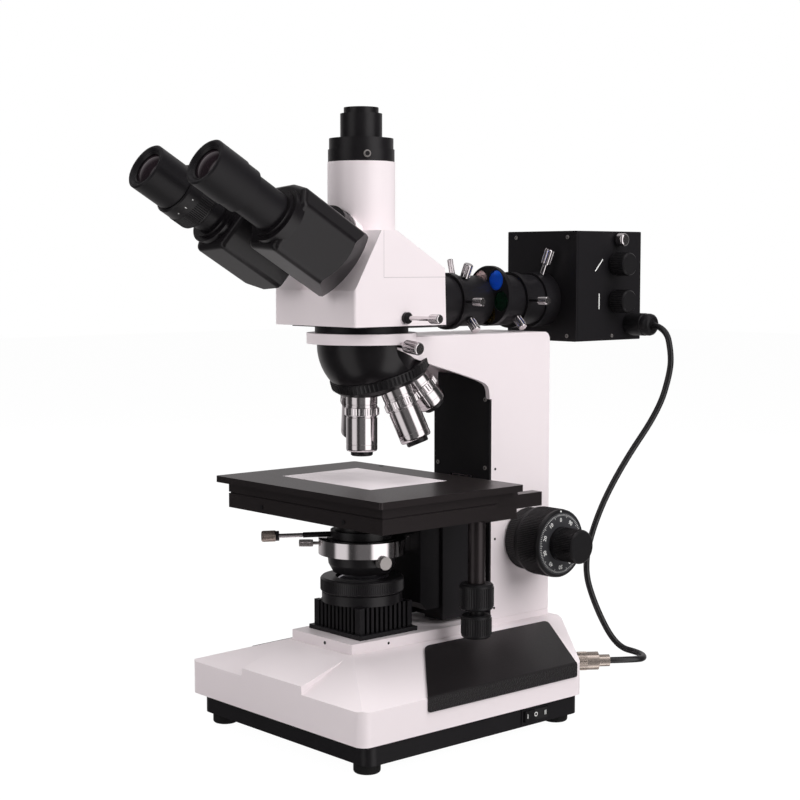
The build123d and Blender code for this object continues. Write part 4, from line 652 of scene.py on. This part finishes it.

# %% [markdown]
# ## Screw heads
# The panels are held by small cheese-head screws. A tree puts one head on each point of a mesh:
# a low cylinder with a rounded edge made by a smaller one on top, and in it a black hex that is
# painted shade for the socket's recess.

# %% The screw tree
def screw_tree():
    """Two stacked cylinders and a black hex, painted shade of the socket, on each point of a mesh."""
    tree, given, out = new_tree("screw_heads", [("Head radius", "Float"), ("Head height", "Float"),
                                                ("Material", "Material"), ("Socket", "Material")])
    link = tree.links.new
    join, each, real = make(tree, "GeometryNodeJoinGeometry", "GeometryNodeInstanceOnPoints",
                            "GeometryNodeRealizeInstances")
    # the third piece, a black hex just above the head, is painted shade of the socket's recess
    for share, tall, up, paintwork in ((1.0, 0.7, 0.35, "Material"), (0.8, 1.0, 0.5, "Material"),
                                       (0.42, 1.04, 0.52, "Socket")):
        head, lift = make(tree, "GeometryNodeMeshCylinder", "GeometryNodeTransform")
        rise, paint = make(tree, "CombineXYZ", "GeometryNodeSetMaterial")
        fill(head, {"Vertices": 6 if share < 0.5 else 20})
        link(calc(tree, "MULTIPLY", given.outputs["Head radius"], share), head.inputs["Radius"])
        link(calc(tree, "MULTIPLY", given.outputs["Head height"], tall), head.inputs["Depth"])
        link(calc(tree, "MULTIPLY", given.outputs["Head height"], up), rise.inputs["Z"])
        link(head.outputs["Mesh"], lift.inputs["Geometry"])
        link(rise.outputs[0], lift.inputs["Translation"])
        link(lift.outputs[0], paint.inputs["Geometry"])
        link(given.outputs[paintwork], paint.inputs["Material"])
        link(paint.outputs[0], join.inputs[0])
    link(given.outputs["Geometry"], each.inputs["Points"])
    link(join.outputs[0], each.inputs["Instance"])
    link(each.outputs[0], real.inputs[0])
    link(real.outputs[0], out.inputs[0])
    return tree


SCREWS = screw_tree()


def screws(name, body, origin, direction, up, spots, radius, height, material=None):
    """Screw heads at (x, y) spots of a face, in millimetres."""
    dots = bpy.data.meshes.new(name)
    dots.from_pydata([(x * MM, y * MM, 0) for x, y in spots], [], [])
    # the socket's black satin is painted shade of its recess
    mesh = baked(name, SCREWS, dots, **{"Head radius": radius * MM, "Head height": height * MM,
                                        "Material": material or STEEL, "Socket": SATIN})
    kept, slots = list(mesh.materials), [p.material_index for p in mesh.polygons]
    o = add(name, mesh, body, kept[0], basis(origin, direction, up))
    for m in kept[1:]:
        o.data.materials.append(m)
    for polygon, slot in zip(o.data.polygons, slots):
        polygon.material_index = slot
    return o


screws("panel_screws", "stand", at(0, 101.7, 0), -Y, Z,
       [(side * 26.5, z) for z in (243.5, 190.7, 88) for side in (1, -1)], 1.7, 0.8)
# flat black discs on the column: painted shade of the recessed screws
screws("column_screws", "stand", at(31.2, 0, 0), X, Z, [(108, 189.7), (108, 135.3), (107.5, 81.3)], 1.0, 0.15,
       JOINT_AND_HOLE_SHADE)
screws("lamp_front_screws", "stand", at(0, 190.7, 0), -Y, Z,
       [(side * 28.5, z) for z in (368.4, 289.7) for side in (1, -1)], 1.6, 0.8)
screws("lamp_side_screw", "stand", at(38, 0, 0), X, Z, [(233.5, 289)], 1.5, 0.7)
# the platform's screw holes are flat black discs: painted shade in the holes
screws("platform_front_hole_shade", "stand", at(0, -39, 0), -Y, Z, [(4, 71.9)], 1.3, 0.15, JOINT_AND_HOLE_SHADE)
screws("platform_side_hole_shade", "stand", at(35.78, 0, 0), X - Y * 0.0367, Z, [(-5, 71.9)], 1.3, 0.15, JOINT_AND_HOLE_SHADE)
screws("stage_front_screw", "y_slide", at(0, -57, 0), -Y, Z, [(47.5, 167.6), (-47.5, 167.6)], 1.8, 0.5,
       ANODISED)
PORT_LINE = Vector((0.864, -0.502, 0)).normalized()
port = at(0, 0, 426)
screws("port_screw", "stand", port + PORT_LINE * 24.1 * MM, PORT_LINE, Z, [(0, 0)], 2.7, 1.6)
lathe("port_screw_face", [(0, 25.6), (1.7, 25.6), (1.7, 25.85), (0, 25.85)], "stand", ANODISED, port,
      PORT_LINE, 24)
# low disc in the painted hole-shade black, for the recessed screw at the back of the stage
screws("stage_rear_screw", "x_slide", at(0, 0, 187.2), Z, Y, [(-58, 69.5)], 2.0, 0.25, JOINT_AND_HOLE_SHADE)
print("screws done")

# %% [markdown]
# ## Lenses
# The eyepieces show a domed eye lens just inside a black cup, held by a black ring; the objectives
# show a small dark front lens. Each is a short lathe profile.

# %% Lenses in place
def dome(rim, top, bulge):
    """Profile of a lens face: a spherical cap of radius bulge from the rim up to top on the axis."""
    return [(rim * k / 8, top - bulge + sqrt(bulge ** 2 - (rim * k / 8) ** 2)) for k in range(8, -1, -1)]


RING = [(11.3, 344.3), (11.6, 344.6), (12.9, 346.0), (12.3, 346.3), (11.3, 345.3), (11.3, 344.3)]
LENS_FACE = [(0, 343.6), (10.4, 343.6)] + dome(11.5, 347.3, 24.0)
for side, hand in ((1, "right"), (-1, "left")):
    lathe(f"eye_lens_{hand}", LENS_FACE, f"{hand}_arm", EYELENS, eye(side), SIGHT, smooth=50)
    lathe(f"eye_lens_ring_{hand}", RING, f"{hand}_arm", ANODISED, eye(side), SIGHT)
for node, angle, length in OBJECTIVES:
    end = SEAT + length
    front = [(0, end - 1.2), (4.0, end - 1.2), (4.0, end - 0.6), (2.4, end - 0.25), (0, end - 0.15)]
    lathe(f"front_lens_{node}", front, "turret", EYELENS, APEX, seat(angle), 32)
print("lenses done")

# %% [markdown]
# ## Objectives
# An objective is turned from bright metal: a collar, the knurled ring, a long barrel with fine
# grooves, a rounded shoulder and a dark nose round the front lens. The smooth lathe pieces stand in
# for the plain solids, with the same radii and lengths.

# %% Barrels and noses
BARREL, KNURLED, SPIGOT, NOSE = 11.65, 12.5, 9.5, 8.2  # radii
SHOULDER_R, SHOULDER_S = 1.7, 1.9  # how far the rounded shoulder goes in and on


def groove(s, deep, wide):
    """Points of a fine groove in the barrel, centred at distance s."""
    inside = BARREL - deep
    return [(BARREL, s - wide), (inside, s - wide * 0.6), (inside, s + wide * 0.6), (BARREL, s + wide)]


def barrel(end):
    """Profile from the spigot in the turret to the flat that carries the nose."""
    shoulder = [radians(a) for a in range(0, 91, 15)]
    return ([(0, SEAT - 4), (SPIGOT, SEAT - 4), (SPIGOT, SEAT), (BARREL - 0.3, SEAT), (BARREL, SEAT + 0.3)]
            + groove(SEAT + 6, 0.35, 0.45)
            + [(BARREL, SEAT + 7.9), (KNURLED - 0.2, SEAT + 7.9), (KNURLED, SEAT + 8.1),
               (KNURLED, SEAT + 13.8), (KNURLED - 0.2, SEAT + 14), (BARREL, SEAT + 14)]
            + groove(SEAT + 15.2, 0.5, 0.6) + groove(end - 8.6, 0.25, 0.3)
            + [(BARREL - SHOULDER_R * (1 - cos(a)), end - 5.2 + SHOULDER_S * sin(a)) for a in shoulder]
            + [(NOSE + 0.1, end - 3.0), (0, end - 3.0)])


for node, angle, length in OBJECTIVES:
    end = SEAT + length
    piece = lathe(f"objective_barrel_{node}", barrel(end), "turret", CHROME, APEX, seat(angle), 96)
    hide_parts(f"objective_{node}")
    nose = [(0, end - 3.0), (NOSE, end - 3.0), (NOSE, end - 0.8), (NOSE - 0.8, end), (4.2, end),
            (4.2, end - 1.2), (0, end - 1.2)]
    lathe(f"objective_nose_{node}", nose, "turret", ANODISED, APEX, seat(angle), 72)
print("objectives done")

# %% [markdown]
# ## Small turned trim
# A black bushing guides the beam splitter rod. The cable gland on the lamp house has a groove, a
# rounded end and a collar round the cord, so it stands in for the plain solid. The condenser's
# iris lever has a bright rod and a bright knurled head; the two levers of the illuminator have
# bright knurled heads.

# %% Trim
lathe("splitter_bushing", [(1.75, 46), (4.2, 46), (4.2, 48.6), (3.4, 49.6), (1.75, 49.6), (1.75, 46)],
      "stand", SATIN, SPLITTER, X, 32)
HOLE_R = 2.55  # the gland's hole round the 5 mm cord
GLAND = [(HOLE_R, 38.0), (9.2, 38.0), (9.2, 54.4), (8.5, 55.0), (8.5, 56.0), (9.0, 56.6), (9.0, 59.2),
         (8.5, 61.0), (7.2, 62.3), (5.4, 62.7), (5.0, 62.0), (3.6, 62.0), (3.2, OUTLET_END),
         (HOLE_R, OUTLET_END), (HOLE_R, 38.0)]
gland = lathe("cable_gland", GLAND, "stand", PLASTIC, at(0, OUTLET_Y, OUTLET_Z), X, 56)
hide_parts("cable_outlet")
lathe("condenser_lever_head", [(0, 64.2), (3.9, 64.2), (4.0, 64.5), (4.0, 74.2), (3.5, 74.7), (0, 74.7)],
      "condenser_iris", NICKEL, IRIS_LEVER, LEVER_LINE, 48)
lathe("condenser_lever_rod", [(0, 44.0), (1.55, 44.0), (1.55, 61.9), (0, 61.9)], "condenser_iris", CHROME,
      IRIS_LEVER, LEVER_LINE, 24)
for name, body, y, end in (("aperture_lever_head", "aperture_iris", APERTURE_Y, 39.0),
                           ("illuminator_lever_head", "illuminator_iris", ILLUMINATOR_IRIS_Y, 41.4)):
    head = [(0, end - 9.4), (2.7, end - 9.4), (3.1, end - 9.0), (3.1, end - 0.4), (2.7, end), (0, end)]
    lathe(name, head, body, CHROME, at(0, y, BEAM_Z), X, 40)
print("trim done")

# %% [markdown]
# ## The focus dial
# The flange of the right fine knob is a dial: a hundred short strokes round its edge, every tenth
# one longer, and bare numbers at every ten. The strokes come from a tree that sets a thin bar on
# each point and stretches every tenth.

# %% Dial strokes and numbers
def stroke_tree():
    """Ring of thin bars, every tenth one twice as long."""
    tree, given, out = new_tree("dial_strokes", [("Count", "Int"), ("Radius", "Float"), ("Stroke", "Float"),
                                                 ("Width", "Float"), ("Material", "Material")])
    link = tree.links.new
    index, angle = point_turns(tree, given)
    long = calc(tree, "LESS_THAN", calc(tree, "MODULO", index, 10), 0.5)
    stretch = calc(tree, "ADD", 1.0, long)
    length = calc(tree, "MULTIPLY", stretch, given.outputs["Stroke"])
    middle = calc(tree, "SUBTRACT", given.outputs["Radius"], calc(tree, "MULTIPLY", length, 0.5))
    bar, dims, scale = make(tree, "GeometryNodeMeshCube", "CombineXYZ", "CombineXYZ")
    link(given.outputs["Stroke"], dims.inputs["X"])
    link(given.outputs["Width"], dims.inputs["Y"])
    fill(dims, {"Z": 0.1 * MM})
    link(dims.outputs[0], bar.inputs["Size"])
    link(stretch, scale.inputs["X"])
    fill(scale, {"Y": 1.0, "Z": 1.0})
    bars_round(tree, given, out, bar, angle, middle, scale)
    return tree


def word(name, text, size, body, place, material, thick=0.05):
    """Text made a mesh in place; size in millimetres."""
    curve = bpy.data.curves.new(name, "FONT")
    curve.body, curve.size, curve.extrude = text, size * MM, thick * MM
    curve.align_x, curve.align_y, curve.resolution_u, curve.offset = "CENTER", "CENTER", 3, 0.018 * size * MM
    o = bpy.data.objects.new(name, curve)
    bpy.context.scene.collection.objects.link(o)
    mesh = bpy.data.meshes.new_from_object(o.evaluated_get(bpy.context.evaluated_depsgraph_get()))
    bpy.data.objects.remove(o)
    return add(name, mesh, body, material, place)


DIAL_X = 68.8  # the flange's face, from the middle of the shaft
DIAL_COUNT, DIAL_R, NUMBER_R, NUMBER_SIZE = 100, 22.8, 18.2, 4.3
strokes = baked("dial_strokes", stroke_tree(), Count=DIAL_COUNT, Radius=DIAL_R * MM, Stroke=1.3 * MM,
                Width=0.28 * MM, Material=WHITEMARK)
dial = FOCUS + X * DIAL_X * MM
add("dial_strokes", strokes, "fine_focus", WHITEMARK, basis(dial, X, Z))
face = basis(FOCUS + X * (DIAL_X + 0.02) * MM, X, Z)
for i in range(10):
    turn = Matrix.Rotation(2 * pi * i / 10, 4, "Z") @ Matrix.Translation((0, NUMBER_R * MM, 0))
    word(f"dial_number_{i}", str(i * 10), NUMBER_SIZE, "fine_focus", face @ turn, WHITEMARK)
lathe("dial_face", [(13.0, -0.4), (24.0, -0.4), (24.0, 0.02), (13.0, 0.02), (13.0, -0.4)], "fine_focus",
      DIALFACE, dial, X, 96)
lathe("coarse_index_dot", [(0, 0), (0.8, 0), (0.8, 0.1), (0, 0.12)], "coarse_focus", WHITEMARK,
      FOCUS + Vector((68.75, 0, 24.9)) * MM, X, 16)
print("dial done")

# %% [markdown]
# ## Marks on the switch and the lamp house
# The rocker has three positions with bare marks, and each lamp knob has a white stroke beside it
# that shows how it is set. They are thin raised strokes, as silk-screened ink would be.

# %% Switch and lamp house marks
INK = 0.12  # thickness of a painted bar, in millimetres


def bar_mark(name, body, centre, right, up, width, height, material=None):
    """Thin painted bar, width along right and height along up, in millimetres."""
    n = Vector(right).cross(Vector(up)).normalized()
    bm = bmesh.new()
    bmesh.ops.create_cube(bm, size=1.0)
    mesh = bpy.data.meshes.new(name)
    bm.to_mesh(mesh)
    bm.free()
    r, u = Vector(right).normalized(), Vector(up).normalized()
    m = Matrix(((r.x, u.x, n.x, 0), (r.y, u.y, n.y, 0), (r.z, u.z, n.z, 0), (0, 0, 0, 1)))
    m = Matrix.Translation(centre) @ m @ Matrix.Diagonal((width * MM, height * MM, INK * MM, 1))
    return add(name, mesh, body, material or WHITEMARK, m)


bar_mark("lamp_mark_lower", "stand", at(38.03, 218, 317), Y, Z, 1.0, 12.5)
bar_mark("lamp_mark_upper", "stand", at(38.03, 217.5, 346), Y + Z * 1.05, Z - Y * 1.05, 13.0, 1.0)
house_low, house_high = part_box("lamp_box")
joint = Vector((house_high[0], at(0, 192.7, 0).y, (house_low[2] + house_high[2]) / 2))
bar_mark("lamp_plate_joint", "stand", joint, Y, Z, 0.5, (house_high[2] - house_low[2]) / MM - 2.0, JOINT_AND_HOLE_SHADE)
for i, angle in enumerate((-64, -42, -20)):
    out = X * cos(radians(angle)) + SLOPE * sin(radians(angle))
    spot = eye(-1) + (SIGHT * 313.5 + out * 19.0) * MM
    bar_mark(f"diopter_mark_{i}", "diopter", spot, SIGHT.cross(out), SIGHT, 0.7, 1.8 if i == 1 else 1.0)
switch_face = basis(at(98.2, 84.85, 15.5), X, Z)
for name, text, shift in (("mark_on", "I", -9.3), ("mark_off", "O", 0.0), ("mark_two", "II", 9.3)):
    mark = switch_face @ Matrix.Translation((shift * MM, 0, (0.3 + abs(shift) * 0.075) * MM))
    word(f"switch_{name}", text, 4.6, "switch", mark, WHITEMARK)
print("marks done")

# %% [markdown]
# ## The cord's length
# The cord is measured along its own line; its plug goes with it. The CAD tube stays in the
# physics model and this curve is shown instead.

line.materials.append(SHEATH)


def measured(points):
    """Length of a chain of points."""
    return sum((b - a).length for a, b in zip(points, points[1:]))


def sampled(curve_object):
    """Points of the smooth line itself, without its bevel."""
    thin = curve_object.data.copy()
    thin.bevel_depth = 0
    o = bpy.data.objects.new("measure", thin)
    bpy.context.scene.collection.objects.link(o)
    mesh = bpy.data.meshes.new_from_object(o.evaluated_get(bpy.context.evaluated_depsgraph_get()))
    points = [v.co.copy() for v in mesh.vertices]
    bpy.data.objects.remove(o)
    return points


CORD_LENGTH = round(measured(sampled(cord)), 3)
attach(cord, "stand")
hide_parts("lamp_cord")
print("cord length", CORD_LENGTH)

# %% [markdown]
# ## Paper floor
# A product photograph is taken against white paper. The floor is white for the camera, but a share
# of it stays plain paper that takes the soft shadow of the base.

# %% Floor
def white_to_camera(name, base, strength):
    """Floor that is nearly white to the camera but keeps the shadow."""
    m = bpy.data.materials.new(name)
    m.use_nodes = True
    tree, link, glow_share = m.node_tree, m.node_tree.links.new, 0.9
    tree.nodes.clear()
    path, plain, glow = make(tree, "LightPath", "BsdfDiffuse", "Emission")
    mix, out = make(tree, "MixShader", "OutputMaterial")
    fill(plain, {"Color": (*base, 1)})
    fill(glow, {"Strength": strength})
    seen = calc(tree, "MAXIMUM", path.outputs["Is Camera Ray"], path.outputs["Is Transmission Ray"])
    link(calc(tree, "MULTIPLY", seen, glow_share), mix.inputs[0])
    link(plain.outputs[0], mix.inputs[1])
    link(glow.outputs[0], mix.inputs[2])
    link(mix.outputs[0], out.inputs[0])
    return m


HALF = 6.0  # of the floor's width, in metres
floor_mesh = bpy.data.meshes.new("floor")
floor_mesh.from_pydata([(-HALF, -HALF, 0), (HALF, -HALF, 0), (HALF, HALF, 0), (-HALF, HALF, 0)], [],
                       [(0, 1, 2, 3)])
floor_mesh.materials.append(white_to_camera("white_paper", (0.6, 0.59, 0.595), 1.09))
floor = bpy.data.objects.new("floor", floor_mesh)
bpy.context.scene.collection.objects.link(floor)
floor.location.z = -0.2 * MM
floor.visible_glossy = False
print("floor", 2 * HALF, "metres wide")

# %% [markdown]
# ## The room
# The world too is white for the camera. In reflections the room is dark with a few tall cards in it:
# the paper behind the object, a bright one on the right and a dim one in front. They draw the bands
# on chrome and the soft edges on black paint.

# %% World
world = bpy.data.worlds.new("studio")
bpy.context.scene.world = world
world.use_nodes = True
room, link = world.node_tree, world.node_tree.links.new
room.nodes.clear()
world.cycles.sampling_method = "NONE"
way, level, unit = make(room, "TexCoord", "VectorMath", "VectorMath")
level.operation, unit.operation = "MULTIPLY", "NORMALIZE"
fill(level, {1: (1, 1, 0)})
link(way.outputs["Generated"], level.inputs[0])
link(level.outputs["Vector"], unit.inputs[0])


def card(turn, half, soft, strength):
    """Tall white card standing in one direction: half its width and its soft edge in degrees."""
    facing, edge = make(room, "VectorMath", "MapRange")
    facing.operation, edge.interpolation_type = "DOT_PRODUCT", "SMOOTHSTEP"
    fill(facing, {1: (cos(radians(turn)), sin(radians(turn)), 0)})
    link(unit.outputs["Vector"], facing.inputs[0])
    link(facing.outputs["Value"], edge.inputs["Value"])
    fill(edge, {"From Min": cos(radians(half + soft)), "From Max": cos(radians(half)), "To Max": strength})
    return edge.outputs["Result"]


# direction, half width, soft edge and brightness: the paper, the bright card, the front and the camera side
CARDS = ((138, 25, 50, 0.42), (9, 16, 12, 1.5), (-96, 12, 12, 0.8), (-35, 8, 20, 0.1))
glare = 0.05
for turn, half, soft, strength in CARDS:
    glare = calc(room, "ADD", card(turn, half, soft, strength), glare)
print("cards in the room", len(CARDS))

# %% [markdown]
# Light paths tell the rays apart. Mirror rays meet the cards, other rays from the object meet a dim
# grey that fills the shadows, and the camera sees white, also through glass.

# %% What each kind of ray meets
path, bright, dim, shiny = make(room, "LightPath", "Background", "Background", "Background")
mix, inner, out = make(room, "MixShader", "MixShader", "OutputWorld")
fill(dim, {"Color": (1, 0.985, 0.99, 1), "Strength": 0.07})
fill(bright, {"Color": (1, 1, 1, 1), "Strength": 1.0})
fill(shiny, {"Color": (1, 0.965, 0.97, 1)})
link(glare, shiny.inputs["Strength"])
link(path.outputs["Is Glossy Ray"], inner.inputs[0])
link(dim.outputs[0], inner.inputs[1])
link(shiny.outputs[0], inner.inputs[2])
seen = calc(room, "MAXIMUM", path.outputs["Is Camera Ray"], path.outputs["Is Transmission Ray"])
link(seen, mix.inputs[0])
link(inner.outputs[0], mix.inputs[1])
link(bright.outputs[0], mix.inputs[2])
link(mix.outputs[0], out.inputs[0])
print("room nodes", len(room.nodes))

# %% [markdown]
# ## Lamps
# Large soft boxes stand round the object and above it. They alone set how bright it is, so that
# white enamel does not burn out.

# %% Soft boxes
def softbox(name, place, target, width, height, watts):
    """Area lamp that lights the object but doesn't show in reflections."""
    data = bpy.data.lights.new(name, "AREA")
    data.shape, data.size, data.size_y, data.energy = "RECTANGLE", width, height, watts
    o = bpy.data.objects.new(name, data)
    bpy.context.scene.collection.objects.link(o)
    o.location = place
    o.rotation_euler = (Vector(place) - Vector(target)).to_track_quat("Z", "Y").to_euler()
    o.visible_glossy = False
    return o


def around(turn, rise, distance=1.9):
    """Place on a ball round the object: turn from +X towards the back, rise above the bench."""
    flat, up = cos(radians(rise)) * distance, sin(radians(rise)) * distance
    return middle + Vector((cos(radians(turn)) * flat, sin(radians(turn)) * flat, up))


middle = at(0, 40, 220)
softbox("key_right", around(14, 28), middle, 1.5, 1.4, 28)
softbox("fill_front", around(-98, 24), middle, 0.7, 1.3, 12.5)
softbox("top", around(10, 78), middle, 1.2, 1.2, 24)
softbox("fill_left", around(-168, 24), middle, 0.7, 1.3, 12)
softbox("fill_back", around(125, 28), middle, 0.7, 1.3, 12)
print("lamps", len(bpy.data.lights))
